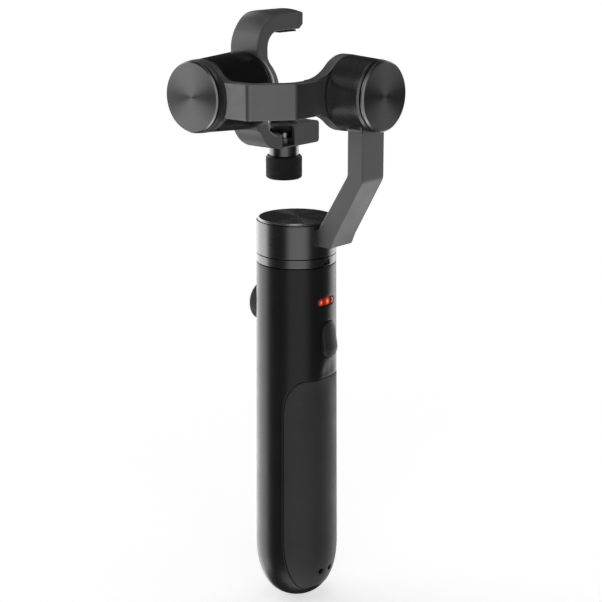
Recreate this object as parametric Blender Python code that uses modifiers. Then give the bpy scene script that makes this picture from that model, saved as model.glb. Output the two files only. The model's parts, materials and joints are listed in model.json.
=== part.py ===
"""Three-axis handheld gimbal for an action camera, built as separate pieces on real joint axes.

Sizes below are millimetres; MM turns them into metres where a mesh is made. The origin is on
the handle's axis at the middle of the grip. +Z runs up the handle, +Y is where the camera looks,
and the user is on the -Y side. The pan axis is Z, the roll axis is parallel to Y, and the tilt
axis is parallel to X.
"""
import math

import bmesh
import bpy
from mathutils import Matrix, Vector

MM = 0.001
GAP = 0.3

# Axes
AXIS_HEIGHT = 182.1
TILT_AXIS_Y = 11.0

# Handle
HANDLE_TOP = 104.1
HANDLE_RADIUS = 18.0
HANDLE_LOW_RADIUS = 19.0
ROUND_START = -30.5
ROUND_HEIGHT = 28.0
WALL = 2.2
GRIP_TOP = 52.0
GRIP_BOTTOM = -51.0
GRIP_HALF_ANGLE = 67.0
GRIP_DEPTH = 1.2
LED_HEIGHT = 88.0
BUTTON_HEIGHT = 70.2
BUTTON_AZIMUTH = 3.0
TRIGGER_HEIGHT = 82.2
TRIGGER_CENTRE_Y = 11.85
TRIGGER_RADIUS = 12.6
LANYARD_HEIGHT = -42.4
LANYARD_AZIMUTH = 10.0
PORT_HEIGHT = 62.0
CELL_RADIUS = 13.1
CELL_LENGTH = 65.5
CELL_BOTTOM = -33.0

# Pan motor
BASE_TOP = 108.2
CAP_BOTTOM = BASE_TOP + GAP
CAP_TOP = 123.2
TOP_DISC_TOP = 124.2
TOP_DISC_RADIUS = 17.0
CAP_WALL = 1.5

# Roll motor and the arm that carries it
ARM_HALF_WIDTH = 7.5
ARM_ROOT_BOTTOM = 114.5
ROOT_FILLET = 7.0
ROLL_DISC_FACE = -48.9
ROLL_CUP_BACK = -46.4
ROLL_CUP_FRONT = -30.3
ROLL_CUP_RADIUS = 15.3
ROLL_CUP_FRONT_RADIUS = 16.2
DISC_RADIUS = 15.0

# Tilt arm
BAND_HALF_HEIGHT = 7.4
ROLL_PLATE_BACK = ROLL_CUP_FRONT + GAP
ROLL_PLATE_FRONT = -24.9
ROLL_PLATE_RADIUS = 16.3
TILT_DISC_FACE = -54.3
TILT_PLATE_OUTER = -52.6
TILT_PLATE_INNER = -46.8
TILT_PLATE_RADIUS = 15.4

# Tilt motor and camera bracket
TILT_CUP_OPEN = TILT_PLATE_INNER + GAP
TILT_CUP_BACK = -22.3
TILT_CUP_RADIUS = 15.4
TILT_CUP_BACK_RADIUS = 16.9
BRACKET_REAR = 3.0
BRACKET_FRONT = 19.0
BRACKET_OUTER = -21.6
BRACKET_INNER = -15.0
HOOK_TOP = 213.7
HOOK_UNDERSIDE = 206.8
HOOK_TIP = 8.2
FOOT_BOTTOM = 155.3
FOOT_FLOOR = 161.4
FOOT_TOP = 165.0
FOOT_END = 19.6
BLOCK_START = 2.4

# Camera clamp
CLAMP_X = 4.3
PAD_RADIUS = 6.3
PAD_TOP = 164.2
PAD_BOTTOM = 161.3
SPINDLE_RADIUS = 3.0
SLEEVE_RADIUS = 6.7
SLEEVE_BOTTOM = 149.8
KNOB_RADIUS = 8.2
KNOB_TOP = 150.5
KNOB_BOTTOM = 140.0

# Facets round a full circle
LARGE_STEPS = 48
MEDIUM_STEPS = 32
SMALL_STEPS = 20

X_AXIS = Vector((1.0, 0.0, 0.0))
Y_AXIS = Vector((0.0, 1.0, 0.0))
Z_AXIS = Vector((0.0, 0.0, 1.0))

PLANE_TURNS = {
    "XY": Matrix.Identity(4),
    "XZ": Matrix(((1, 0, 0, 0), (0, 0, -1, 0), (0, 1, 0, 0), (0, 0, 0, 1))),
    "YZ": Matrix(((0, 0, 1, 0), (1, 0, 0, 0), (0, 1, 0, 0), (0, 0, 0, 1))),
}

# colour, roughness, metallic
FINISHES = {
    "handle_black": ((0.022, 0.022, 0.023), 0.42, 0.0),
    "grip_soft": ((0.030, 0.030, 0.031), 0.72, 0.0),
    "arm_metal": ((0.085, 0.085, 0.088), 0.38, 0.8),
    "disc_metal": ((0.16, 0.16, 0.165), 0.28, 1.0),
    "rotor_gloss": ((0.012, 0.012, 0.013), 0.22, 0.0),
    "bracket_metal": ((0.075, 0.075, 0.078), 0.42, 0.6),
    "knob_black": ((0.020, 0.020, 0.021), 0.50, 0.2),
    "button_plastic": ((0.030, 0.030, 0.031), 0.45, 0.0),
    "rubber": ((0.015, 0.015, 0.015), 0.80, 0.0),
    "steel": ((0.55, 0.55, 0.56), 0.30, 1.0),
    "magnet": ((0.30, 0.30, 0.31), 0.35, 1.0),
    "lamination": ((0.20, 0.12, 0.06), 0.55, 0.6),
    "board_green": ((0.02, 0.09, 0.05), 0.50, 0.0),
    "led_lens": ((0.35, 0.06, 0.03), 0.25, 0.0),
    "led_emitter": ((0.95, 0.30, 0.12), 0.35, 0.0),
    "cell_wrap": ((0.05, 0.12, 0.25), 0.45, 0.0),
    "liner_plastic": ((0.06, 0.06, 0.06), 0.55, 0.0),
    "ribbon": ((0.35, 0.18, 0.05), 0.45, 0.0),
}


def clear_scene():
    for item in list(bpy.data.objects):
        bpy.data.objects.remove(item, do_unlink=True)


def new_collection(name):
    collection = bpy.data.collections.new(name)
    bpy.context.scene.collection.children.link(collection)
    return collection


def finish_material(name):
    """One Principled material for each finish, made once."""
    known = bpy.data.materials.get(name)
    if known:
        return known
    colour, roughness, metallic = FINISHES[name]
    material = bpy.data.materials.new(name)
    material.use_nodes = True
    shader = material.node_tree.nodes["Principled BSDF"]
    shader.inputs["Base Color"].default_value = (*colour, 1.0)
    shader.inputs["Roughness"].default_value = roughness
    shader.inputs["Metallic"].default_value = metallic
    return material


def place(name, mesh, finish=None, matrix=None):
    """Puts a mesh into the scene as a part, or as a cutter when it has no finish."""
    item = bpy.data.objects.new(name, mesh)
    if matrix is not None:
        item.matrix_world = matrix
    if finish is None:
        cutters.objects.link(item)
        item.hide_render = True
        item.display_type = "WIRE"
        return item
    parts.objects.link(item)
    mesh.materials.append(finish_material(finish))
    return item


def smooth(item, angle=35.0):
    mesh = item.data
    mesh.shade_smooth()
    mesh.set_sharp_from_angle(angle=math.radians(angle))
    return item


def facing(origin, direction):
    """Matrix that puts local Z along a direction, at an origin in millimetres."""
    turn = direction.to_track_quat("Z", "Y").to_matrix().to_4x4()
    return Matrix.Translation(Vector(origin) * MM) @ turn


def turned(name, profile, finish=None, origin=(0, 0, 0), direction=Z_AXIS, steps=LARGE_STEPS):
    """A turned solid. The profile is (radius, height) pairs, top to bottom down the outer side.

    A profile that starts and ends on the axis makes a solid; any other one is closed into a ring.
    """
    on_axis = profile[0][0] == 0 and profile[-1][0] == 0
    mesh = bpy.data.meshes.new(name)
    shape = bmesh.new()
    points = [shape.verts.new((radius * MM, 0.0, height * MM)) for radius, height in profile]
    for first, second in zip(points, points[1:]):
        shape.edges.new((first, second))
    if not on_axis:
        shape.edges.new((points[-1], points[0]))
    shape.to_mesh(mesh)
    shape.free()
    item = place(name, mesh, finish, facing(origin, direction))
    screw = item.modifiers.new("turn", "SCREW")
    screw.axis = "Z"
    screw.angle = math.tau
    screw.steps = steps
    screw.render_steps = steps
    screw.use_merge_vertices = True
    screw.merge_threshold = 0.00001
    screw.use_smooth_shade = True
    return item


def baked(item):
    """Replaces an object's mesh by its evaluated one, so that Booleans read a plain mesh."""
    bpy.context.view_layer.update()
    graph = bpy.context.evaluated_depsgraph_get()
    mesh = bpy.data.meshes.new_from_object(item.evaluated_get(graph))
    item.modifiers.clear()
    item.data = mesh
    return item


def rounded(corners):
    """Outline points from (x, y, radius) corners; a radius of 0 keeps the corner sharp."""
    outline = []
    count = len(corners)
    for index, (x, y, radius) in enumerate(corners):
        here = Vector((x, y))
        if radius == 0:
            outline.append((x, y))
            continue
        before = (Vector(corners[index - 1][:2]) - here).normalized()
        after = (Vector(corners[(index + 1) % count][:2]) - here).normalized()
        half = before.angle(after) / 2
        centre = here + (before + after).normalized() * (radius / math.sin(half))
        start = here + before * (radius / math.tan(half)) - centre
        sweep = start.angle_signed(here + after * (radius / math.tan(half)) - centre)
        pieces = max(2, round(abs(math.degrees(sweep)) / 15))
        for step in range(pieces + 1):
            turn = Matrix.Rotation(-sweep * step / pieces, 2)
            outline.append(tuple(centre + turn @ start))
    return outline


def extruded(name, outline, plane, middle, depth, finish=None):
    """A flat outline given depth, centred on its plane's own normal at middle."""
    curve = bpy.data.curves.new(name, "CURVE")
    curve.dimensions = "2D"
    curve.fill_mode = "BOTH"
    curve.extrude = depth * MM / 2
    spline = curve.splines.new("POLY")
    spline.points.add(len(outline) - 1)
    for point, (x, y) in zip(spline.points, outline):
        point.co = (x * MM, y * MM, 0.0, 1.0)
    spline.use_cyclic_u = True
    guide = bpy.data.objects.new(name, curve)
    cutters.objects.link(guide)
    mesh = meshed(guide)
    turn = PLANE_TURNS[plane]
    normal = turn.to_3x3() @ Vector((0, 0, 1))
    shift = Vector([middle * MM * abs(part) for part in normal])
    mesh.transform(Matrix.Translation(shift) @ turn)
    mesh.name = name
    return place(name, mesh, finish)


def meshed(guide):
    """The welded mesh of a curve object, which is then removed."""
    bpy.context.view_layer.update()
    graph = bpy.context.evaluated_depsgraph_get()
    mesh = bpy.data.meshes.new_from_object(guide.evaluated_get(graph))
    curve = guide.data
    bpy.data.objects.remove(guide)
    bpy.data.curves.remove(curve)
    shape = bmesh.new()
    shape.from_mesh(mesh)
    bmesh.ops.remove_doubles(shape, verts=shape.verts, dist=0.000001)
    bmesh.ops.recalc_face_normals(shape, faces=shape.faces)
    shape.to_mesh(mesh)
    shape.free()
    mesh.materials.clear()
    return mesh


def box(name, low, high, finish=None):
    """A box between two corners in millimetres."""
    mesh = bpy.data.meshes.new(name)
    shape = bmesh.new()
    bmesh.ops.create_cube(shape, size=1.0)
    low, high = Vector(low), Vector(high)
    bmesh.ops.scale(shape, verts=shape.verts, vec=(high - low) * MM)
    bmesh.ops.translate(shape, verts=shape.verts, vec=(high + low) * MM / 2)
    shape.to_mesh(mesh)
    shape.free()
    return place(name, mesh, finish)


def combine(item, others, operation):
    """Adds or cuts other solids with exact Booleans, and leaves no tool behind."""
    for other in others:
        modifier = item.modifiers.new(other.name, "BOOLEAN")
        modifier.operation = operation
        modifier.object = other
        modifier.solver = "EXACT"
    baked(item)
    for other in others:
        bpy.data.objects.remove(other)
    shape = bmesh.new()
    shape.from_mesh(item.data)
    bmesh.ops.remove_doubles(shape, verts=shape.verts, dist=0.000002)
    bmesh.ops.dissolve_degenerate(shape, edges=shape.edges, dist=0.000002)
    shape.to_mesh(item.data)
    shape.free()
    return item


def ring(outer, inner, top, bottom):
    return [(outer, top), (outer, bottom), (inner, bottom), (inner, top)]


def rod(radius, top, bottom):
    return [(0, top), (radius, top), (radius, bottom), (0, bottom)]


def screw_profile(head_radius, head_height, shank_radius, length):
    """A cap-head screw, with its head's underside at height 0."""
    return [(0, head_height), (head_radius, head_height), (head_radius, 0),
            (shank_radius, 0), (shank_radius, -length), (0, -length)]


def handle_radius(height):
    """Outer radius of the handle, which flares slowly and ends in a rounded bottom."""
    if height >= ROUND_START:
        share = (HANDLE_TOP - height) / (HANDLE_TOP - ROUND_START)
        return HANDLE_RADIUS + (HANDLE_LOW_RADIUS - HANDLE_RADIUS) * share
    depth = min(1.0, (ROUND_START - height) / ROUND_HEIGHT)
    return HANDLE_LOW_RADIUS * math.sqrt(1 - depth * depth)


def handle_heights():
    """Heights down the handle's profile, closer together round the bottom."""
    heights = [HANDLE_TOP, 60.0, 15.0, ROUND_START]
    for degrees in (15, 30, 45, 58, 70, 80):
        heights.append(ROUND_START - ROUND_HEIGHT * math.sin(math.radians(degrees)))
    return heights


def on_handle(azimuth, height, radius):
    """A point at an angle from the user's side, positive towards +X."""
    angle = math.radians(azimuth)
    return Vector((radius * math.sin(angle), -radius * math.cos(angle), height))


def handle_profile():
    """The shell's section: up the inside, over the open top, and down the outside."""
    heights = handle_heights()
    outer = [(handle_radius(height), height) for height in heights]
    inner = [(radius - WALL, max(height, ROUND_START - ROUND_HEIGHT + WALL))
             for radius, height in outer if radius > 2 * WALL]
    bottom = ROUND_START - ROUND_HEIGHT
    return [(0, bottom + WALL)] + inner[::-1] + outer + [(0, bottom)]


def pill(width, height, x=0.0, y=0.0, steps=6):
    """A pill outline; its long side may be either one."""
    radius = min(width, height) / 2
    outline = []
    for quarter in range(4):
        side_x = (1, -1, -1, 1)[quarter] * (width / 2 - radius)
        side_y = (1, 1, -1, -1)[quarter] * (height / 2 - radius)
        for step in range(steps + 1):
            angle = math.pi / 2 * (quarter + step / steps)
            point = (x + side_x + radius * math.cos(angle), y + side_y + radius * math.sin(angle))
            if not outline or math.dist(point, outline[-1]) > 0.01:
                outline.append(point)
    if math.dist(outline[0], outline[-1]) < 0.01:
        outline.pop()
    return outline


def through_wall(name, outline, near, far, azimuth=0.0, finish=None):
    """An outline facing the user, reaching from one distance to another from the handle's axis."""
    item = extruded(name, outline, "XZ", -(near + far) / 2, far - near, finish)
    item.data.transform(Matrix.Rotation(math.radians(azimuth), 4, "Z"))
    return item


def grip_solid(name, depth, lift, margin, finish=None):
    """The grip's curved panel: a grid wrapped onto the handle, then given thickness inwards."""
    mesh = bpy.data.meshes.new(name)
    shape = bmesh.new()
    bmesh.ops.create_grid(shape, x_segments=16, y_segments=18, size=1.0)
    half_angle = GRIP_HALF_ANGLE + math.degrees(margin / HANDLE_RADIUS)
    straight = 0.55
    for vert in shape.verts:
        across = math.sin(vert.co.x * math.pi / 2)
        corner = max(0.0, (abs(across) - straight) / (1 - straight))
        drop = 1 - math.sqrt(max(0.0, 1 - corner * corner))
        top = GRIP_TOP + margin - 16.0 * drop
        bottom = GRIP_BOTTOM - 3 * margin + 25.0 * drop
        height = bottom + (top - bottom) * ((vert.co.y + 1) / 2) ** 1.5
        radius = handle_radius(height) + lift
        vert.co = on_handle(across * half_angle, height, radius) * MM
    bmesh.ops.recalc_face_normals(shape, faces=shape.faces)
    face = min(shape.faces, key=lambda item: abs(item.calc_center_median().x))
    if face.normal.y > 0:
        bmesh.ops.reverse_faces(shape, faces=shape.faces)
    shape.to_mesh(mesh)
    shape.free()
    item = place(name, mesh, finish)
    solidify = item.modifiers.new("thickness", "SOLIDIFY")
    solidify.thickness = (depth + lift) * MM
    solidify.offset = -1.0
    baked(item)
    return item


def handle_shell():
    shell = baked(turned("handle_shell", handle_profile(), "handle_black"))
    slot = pill(10.8, 3.8, 0.0, LED_HEIGHT)
    key = pill(9.6, 17.4, 0.0, BUTTON_HEIGHT)
    cuts = [
        grip_solid("grip_recess", GRIP_DEPTH + 1.4 * GAP, 1.0, 1.4 * GAP),
        through_wall("led_slot", slot, 12.0, 22.0),
        through_wall("button_slot", key, 12.0, 22.0, BUTTON_AZIMUTH),
        baked(turned("trigger_hole", rod(9.5, 26.0, 9.0), None, (0, 0, TRIGGER_HEIGHT), Y_AXIS,
                     MEDIUM_STEPS)),
        box("port_hole", (12.0, -4.9, PORT_HEIGHT - 2.0), (24.0, 4.9, PORT_HEIGHT + 2.0)),
    ]
    for side in (-1, 1):
        away = on_handle(side * LANYARD_AZIMUTH, 0.0, 1.0)
        hole = turned(f"lanyard_hole_{side}", rod(1.2, 26.0, 9.0), None,
                      (0, 0, LANYARD_HEIGHT), away, 12)
        cuts.append(baked(hole))
    smooth(combine(shell, cuts, "DIFFERENCE"))


def grip_panel():
    panel = grip_solid("grip_panel", GRIP_DEPTH, 0.15, 0.0, "grip_soft")
    cuts = []
    for side in (-1, 1):
        away = on_handle(side * LANYARD_AZIMUTH, 0.0, 1.0)
        hole = turned(f"panel_hole_{side}", rod(1.5, 26.0, 9.0), None,
                      (0, 0, LANYARD_HEIGHT), away, 12)
        cuts.append(baked(hole))
    smooth(combine(panel, cuts, "DIFFERENCE"))


def lights():
    """The two status lamps on the board, and the window flush with the handle."""
    window = through_wall("led_window", pill(10.2, 3.2, 0.0, LED_HEIGHT), 13.0, 22.0, 0.0,
                          "led_lens")
    skin = baked(turned("window_skin", rod(18.05, LED_HEIGHT + 6, LED_HEIGHT - 6)))
    combine(window, [skin], "INTERSECT")
    for name, side in (("led_left", -1), ("led_right", 1)):
        middle = side * 2.6
        box(name, (middle - 1.0, -12.4, LED_HEIGHT - 1.0), (middle + 1.0, -10.7, LED_HEIGHT + 1.0),
            "led_emitter")


def controls():
    """The user's key and the round trigger, each with the switch that it presses."""
    key = through_wall("power_button", pill(9.0, 16.8, 0.0, BUTTON_HEIGHT), 14.4, 20.6,
                       0.0, "button_plastic")
    flange = through_wall("key_flange", pill(11.0, 18.8, 0.0, BUTTON_HEIGHT), 13.2, 14.6)
    combine(key, [flange], "UNION")
    key.data.transform(Matrix.Rotation(math.radians(BUTTON_AZIMUTH), 4, "Z"))
    box("power_switch", (-2.5, -12.0, BUTTON_HEIGHT - 2.5), (2.5, -10.7, BUTTON_HEIGHT + 2.5),
        "steel")

    dome = []
    for step in range(7):
        angle = math.asin(9.2 / TRIGGER_RADIUS) * step / 6
        height = TRIGGER_CENTRE_Y + TRIGGER_RADIUS * math.cos(angle)
        dome.append((TRIGGER_RADIUS * math.sin(angle), height))
    profile = dome + [(9.2, 11.2), (10.4, 11.2), (10.4, 10.0), (0, 10.0)]
    turned("trigger_button", profile, "button_plastic", (0, 0, TRIGGER_HEIGHT), Y_AXIS,
           MEDIUM_STEPS)
    box("trigger_switch", (-2.5, 6.4, TRIGGER_HEIGHT - 2.5), (2.5, 8.6, TRIGGER_HEIGHT + 2.5),
        "steel")
    box("trigger_board", (-8.0, 4.6, TRIGGER_HEIGHT - 9.0), (8.0, 6.1, TRIGGER_HEIGHT + 9.0),
        "board_green")


def handle_inside():
    """The board, its frame, the charging port, and the battery in its sleeve."""
    box("main_board", (-8.5, -10.4, 42.0), (8.5, -8.8, 96.0), "board_green")
    box("board_frame", (-8.5, -8.5, 39.0), (8.5, -6.0, 97.0), "liner_plastic")
    port = box("charging_port", (12.4, -4.5, PORT_HEIGHT - 1.7), (17.6, 4.5, PORT_HEIGHT + 1.7),
               "steel")
    mouth = box("port_mouth", (13.6, -3.9, PORT_HEIGHT - 1.1), (19.0, 3.9, PORT_HEIGHT + 1.1))
    combine(port, [mouth], "DIFFERENCE")

    sleeve_bottom = CELL_BOTTOM - 6.0
    cell_top = CELL_BOTTOM + CELL_LENGTH
    sleeve = [(0, sleeve_bottom + 1.2), (13.5, sleeve_bottom + 1.2), (13.5, cell_top + 2.0),
              (14.7, cell_top + 2.0), (14.7, sleeve_bottom), (0, sleeve_bottom)]
    turned("battery_sleeve", sleeve, "liner_plastic", steps=MEDIUM_STEPS)
    cell = [(0, cell_top), (4.0, cell_top), (4.0, cell_top - 1.5), (12.6, cell_top - 1.5),
            (CELL_RADIUS, cell_top - 2.0), (CELL_RADIUS, CELL_BOTTOM), (0, CELL_BOTTOM)]
    turned("battery_cell", cell, "cell_wrap", steps=MEDIUM_STEPS)
    turned("battery_contact", rod(6.0, cell_top + 1.0, cell_top + GAP), "steel",
           steps=SMALL_STEPS)
    turned("battery_lid", rod(14.7, cell_top + 4.6, cell_top + 2.3), "liner_plastic",
           steps=MEDIUM_STEPS)
    battery_spring(sleeve_bottom + 1.5, CELL_BOTTOM - GAP)


def battery_spring(bottom, top):
    """A coil spring that narrows towards the cell."""
    wire = 0.4
    turns = 3
    points = turns * 14
    curve = bpy.data.curves.new("battery_spring", "CURVE")
    curve.dimensions = "3D"
    curve.bevel_depth = wire * MM
    curve.bevel_resolution = 1
    curve.use_fill_caps = True
    spline = curve.splines.new("POLY")
    spline.points.add(points)
    for index, point in enumerate(spline.points):
        share = index / points
        angle = math.tau * turns * share
        radius = 8.0 - 3.0 * share
        height = bottom + wire + (top - bottom - 2 * wire) * share
        point.co = (radius * math.cos(angle) * MM, radius * math.sin(angle) * MM, height * MM, 1)
    guide = bpy.data.objects.new("spring_guide", curve)
    cutters.objects.link(guide)
    place("battery_spring", meshed(guide), "steel")


def motor(prefix, origin, direction, depth, cup_radius):
    """The inside of one brushless motor.

    Heights run from the base's face to the cup's closed end, which is depth away. The tube, its
    two bearings and the wound stator stand on the base; the shaft and magnets turn with the cup.
    """
    tube = [(5.3, depth - 2.0), (5.3, 2.0), (8.0, 2.0), (8.0, GAP), (4.2, GAP), (4.2, depth - 2.0)]
    turned(f"{prefix}_bearing_tube", tube, "liner_plastic", origin, direction, SMALL_STEPS)
    turned(f"{prefix}_lower_bearing", ring(3.9, 2.3, 3.6, 1.0), "steel", origin, direction,
           SMALL_STEPS)
    turned(f"{prefix}_upper_bearing", ring(3.9, 2.3, depth - 2.4, depth - 5.0), "steel", origin,
           direction, SMALL_STEPS)
    turned(f"{prefix}_shaft", rod(2.0, depth - GAP, 0.8), "steel", origin, direction, SMALL_STEPS)
    turned(f"{prefix}_magnet_ring", ring(cup_radius - 0.3, cup_radius - 1.5, depth - 1.5, 1.5),
           "magnet", origin, direction, MEDIUM_STEPS)
    stator(f"{prefix}_stator", origin, direction, 2.6, depth - 3.0, cup_radius - 2.1)


def stator(name, origin, direction, bottom, top, radius):
    """Nine T-shaped poles round a hub, with the hub bored for the bearing tube."""
    poles = 9
    outline = []
    for pole in range(poles):
        middle = math.tau * pole / poles
        for offset, share in ((-0.17, 0.62), (-0.13, 0.88), (-0.28, 0.92), (-0.25, 1.0),
                              (0.0, 1.0), (0.25, 1.0), (0.28, 0.92), (0.13, 0.88), (0.17, 0.62)):
            angle = middle + offset
            outline.append((radius * share * math.cos(angle), radius * share * math.sin(angle)))
    item = extruded(name, outline, "XY", (bottom + top) / 2, top - bottom, "lamination")
    bore = baked(turned("stator_bore", rod(5.6, top + 2, bottom - 2), steps=SMALL_STEPS))
    combine(item, [bore], "DIFFERENCE")
    item.data.transform(facing(origin, direction))


def stator_base():
    """The fixed ring on the handle's top, with the small pointer pocket on the user's side."""
    profile = [(HANDLE_RADIUS, BASE_TOP), (HANDLE_RADIUS, HANDLE_TOP + GAP),
               (15.5, HANDLE_TOP + GAP), (15.5, 99.0), (13.7, 99.0), (13.7, 103.8),
               (2.6, 103.8), (2.6, BASE_TOP)]
    base = baked(turned("stator_ring", profile, "arm_metal"))
    pointer = [(-3.0, 104.9), (1.8, 104.9), (1.8, 107.2)]
    notch = extruded("pointer_notch", pointer, "XZ", -18.5, 3.0)
    smooth(combine(base, [notch], "DIFFERENCE"))
    motor("pan", (0, 0, BASE_TOP), Z_AXIS, CAP_TOP - CAP_WALL - BASE_TOP, HANDLE_RADIUS - 1.6)


def roll_arm():
    """One casting: the pan motor's cap, the bent arm, and the roll motor's cup."""
    cap = [(0, CAP_TOP - 0.6), (17.3, CAP_TOP - 0.6), (17.3, CAP_TOP), (17.7, CAP_TOP),
           (HANDLE_RADIUS, CAP_TOP - 0.3), (HANDLE_RADIUS, CAP_BOTTOM), (0, CAP_BOTTOM)]
    casting = baked(turned("roll_arm", cap, "arm_metal"))
    side = [(-43.1, 172.0, 0), (-43.1, 145.8, 6), (-27.9, 119.2, 8), (-26.2, ARM_ROOT_BOTTOM, 1.5),
            (-10.0, ARM_ROOT_BOTTOM, 0), (-10.0, 122.3, 0), (-18.9, 122.3, 0), (-35.0, 147.9, 4),
            (-35.0, 172.0, 0)]
    arm = extruded("arm", rounded(side), "YZ", 0.0, 2 * ARM_HALF_WIDTH)
    root = extruded("root", root_outline(), "XY", (ARM_ROOT_BOTTOM + 122.0) / 2,
                    122.0 - ARM_ROOT_BOTTOM)
    roll_origin = (0, 0, AXIS_HEIGHT)
    cup = [(0, -ROLL_CUP_BACK), (14.7, -ROLL_CUP_BACK), (ROLL_CUP_RADIUS, -ROLL_CUP_BACK - 0.6),
           (ROLL_CUP_RADIUS, 43.0), (ROLL_CUP_FRONT_RADIUS, -ROLL_CUP_FRONT),
           (0, -ROLL_CUP_FRONT)]
    shell = baked(turned("cup", cup, None, roll_origin, -Y_AXIS))
    combine(casting, [arm, root, shell], "UNION")

    pan_hollow = turned("pan_hollow", rod(HANDLE_RADIUS - 1.6, CAP_TOP - CAP_WALL, 100.0))
    roll_hollow = turned("roll_hollow", rod(13.7, 44.9, 20.0), None, roll_origin, -Y_AXIS)
    channel = box("cable_channel", (-4.5, -40.0, 150.0), (4.5, -30.0, 164.5))
    combine(casting, [baked(pan_hollow), baked(roll_hollow), channel], "DIFFERENCE")
    smooth(casting)

    cover = box("arm_cover", (-4.2, -36.2, 150.3), (4.2, -35.0, 164.2), "arm_metal")
    holes = []
    for name, height in (("arm_cover_screw_lower", 152.4), ("arm_cover_screw_upper", 162.1)):
        head = screw_profile(1.4, 0.7, 0.8, 3.0)
        turned(name, head, "steel", (0, -35.0 + GAP, height), Y_AXIS, 12)
        hole = turned("hole", rod(1.1, 4.0, -4.0), None, (0, -35.0, height), Y_AXIS, 12)
        holes.append(baked(hole))
    combine(cover, holes, "DIFFERENCE")
    box("arm_ribbon", (-3.0, -39.5, 150.4), (3.0, -39.0, 164.1), "ribbon")


def root_outline():
    """Plan of the arm's root, with a hollow fillet on each side where it meets the cap."""
    fillet_x = ARM_HALF_WIDTH + ROOT_FILLET
    fillet_y = -math.sqrt((HANDLE_RADIUS + ROOT_FILLET) ** 2 - fillet_x ** 2)
    end = math.atan2(-fillet_y, fillet_x)
    right = []
    for step in range(6):
        angle = math.pi - (math.pi - (math.pi - end)) * step / 5
        right.append((fillet_x + ROOT_FILLET * math.cos(angle),
                      fillet_y + ROOT_FILLET * math.sin(angle)))
    left = [(-x, y) for x, y in right[::-1]]
    return [(ARM_HALF_WIDTH, -23.0)] + right + [(6.0, -12.0), (-6.0, -12.0)] + left + [
        (-ARM_HALF_WIDTH, -23.0)]


def end_discs():
    """The turned metal faces of the three motors, and the cover behind the camera."""
    top = [(0, TOP_DISC_TOP), (TOP_DISC_RADIUS - 0.8, TOP_DISC_TOP),
           (TOP_DISC_RADIUS, TOP_DISC_TOP - 0.7), (TOP_DISC_RADIUS, CAP_TOP - 0.3),
           (0, CAP_TOP - 0.3)]
    turned("pan_top_disc", top, "disc_metal")
    roll = [(0, -ROLL_DISC_FACE), (DISC_RADIUS - 0.8, -ROLL_DISC_FACE),
            (DISC_RADIUS, -ROLL_DISC_FACE - 0.8), (DISC_RADIUS, -ROLL_CUP_BACK + GAP),
            (0, -ROLL_CUP_BACK + GAP)]
    turned("roll_disc", roll, "disc_metal", (0, 0, AXIS_HEIGHT), -Y_AXIS)
    tilt = [(0, -TILT_DISC_FACE), (DISC_RADIUS - 0.8, -TILT_DISC_FACE),
            (DISC_RADIUS, -TILT_DISC_FACE - 0.7), (DISC_RADIUS, -TILT_PLATE_OUTER + GAP),
            (0, -TILT_PLATE_OUTER + GAP)]
    turned("tilt_disc", tilt, "disc_metal", (0, TILT_AXIS_Y, AXIS_HEIGHT), -X_AXIS)
    cover = [(0, -23.9), (14.4, -23.9), (14.8, -24.2), (14.8, -24.6), (0, -24.6)]
    turned("roll_inner_cover", cover, "arm_metal", (0, 0, AXIS_HEIGHT), Y_AXIS)


def paddle(radius, half, fillet, reach):
    """A disc with a bar running out of it towards -x, joined by hollow fillets."""
    fillet_x = -math.sqrt((radius + fillet) ** 2 - (half + fillet) ** 2)
    lean = math.atan2(half + fillet, fillet_x)
    upper = []
    for step in range(13):
        angle = lean * step / 12
        upper.append((radius * math.cos(angle), radius * math.sin(angle)))
    for step in range(1, 7):
        angle = lean - math.pi + (math.pi / 2 - lean) * step / 6
        upper.append((fillet_x + fillet * math.cos(angle), half + fillet + fillet * math.sin(angle)))
    upper.append((-reach, half))
    lower = [(x, -y) for x, y in upper[:0:-1]]
    return upper + lower


def tilt_arm():
    """The curved band behind the camera, with a round plate at each motor."""
    band = [(TILT_PLATE_OUTER, 0, 0), (TILT_PLATE_OUTER, -19.5, 4), (-36.5, -32.3, 6),
            (-24.5, -31.6, 20), (-17.0, ROLL_PLATE_BACK, 4), (-8.0, ROLL_PLATE_BACK, 0),
            (-8.0, ROLL_PLATE_FRONT, 0), (-16.5, ROLL_PLATE_FRONT, 6), (-24.5, -26.6, 14),
            (-34.2, -27.0, 8), (TILT_PLATE_INNER, -17.0, 5), (TILT_PLATE_INNER, 0, 0)]
    arm = extruded("tilt_arm", rounded(band), "XY", AXIS_HEIGHT, 2 * BAND_HALF_HEIGHT, "arm_metal")
    roll_end = [(x, y + AXIS_HEIGHT) for x, y in paddle(ROLL_PLATE_RADIUS, 7.3, 20.0, 26.0)]
    tilt_end = [(x + TILT_AXIS_Y, y + AXIS_HEIGHT)
                for x, y in paddle(TILT_PLATE_RADIUS, 7.3, 10.0, 26.0)]
    ends = [
        extruded("roll_end", roll_end, "XZ", (ROLL_PLATE_BACK + ROLL_PLATE_FRONT) / 2,
                 ROLL_PLATE_FRONT - ROLL_PLATE_BACK),
        extruded("tilt_end", tilt_end, "YZ", (TILT_PLATE_OUTER + TILT_PLATE_INNER) / 2,
                 TILT_PLATE_INNER - TILT_PLATE_OUTER),
    ]
    smooth(combine(arm, ends, "UNION"))
    motor("roll", (0, ROLL_PLATE_BACK, AXIS_HEIGHT), -Y_AXIS, ROLL_PLATE_BACK + 44.9, 13.7)
    motor("tilt", (TILT_PLATE_INNER, TILT_AXIS_Y, AXIS_HEIGHT), X_AXIS,
          TILT_CUP_BACK - 1.8 - TILT_PLATE_INNER, 13.6)


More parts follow.
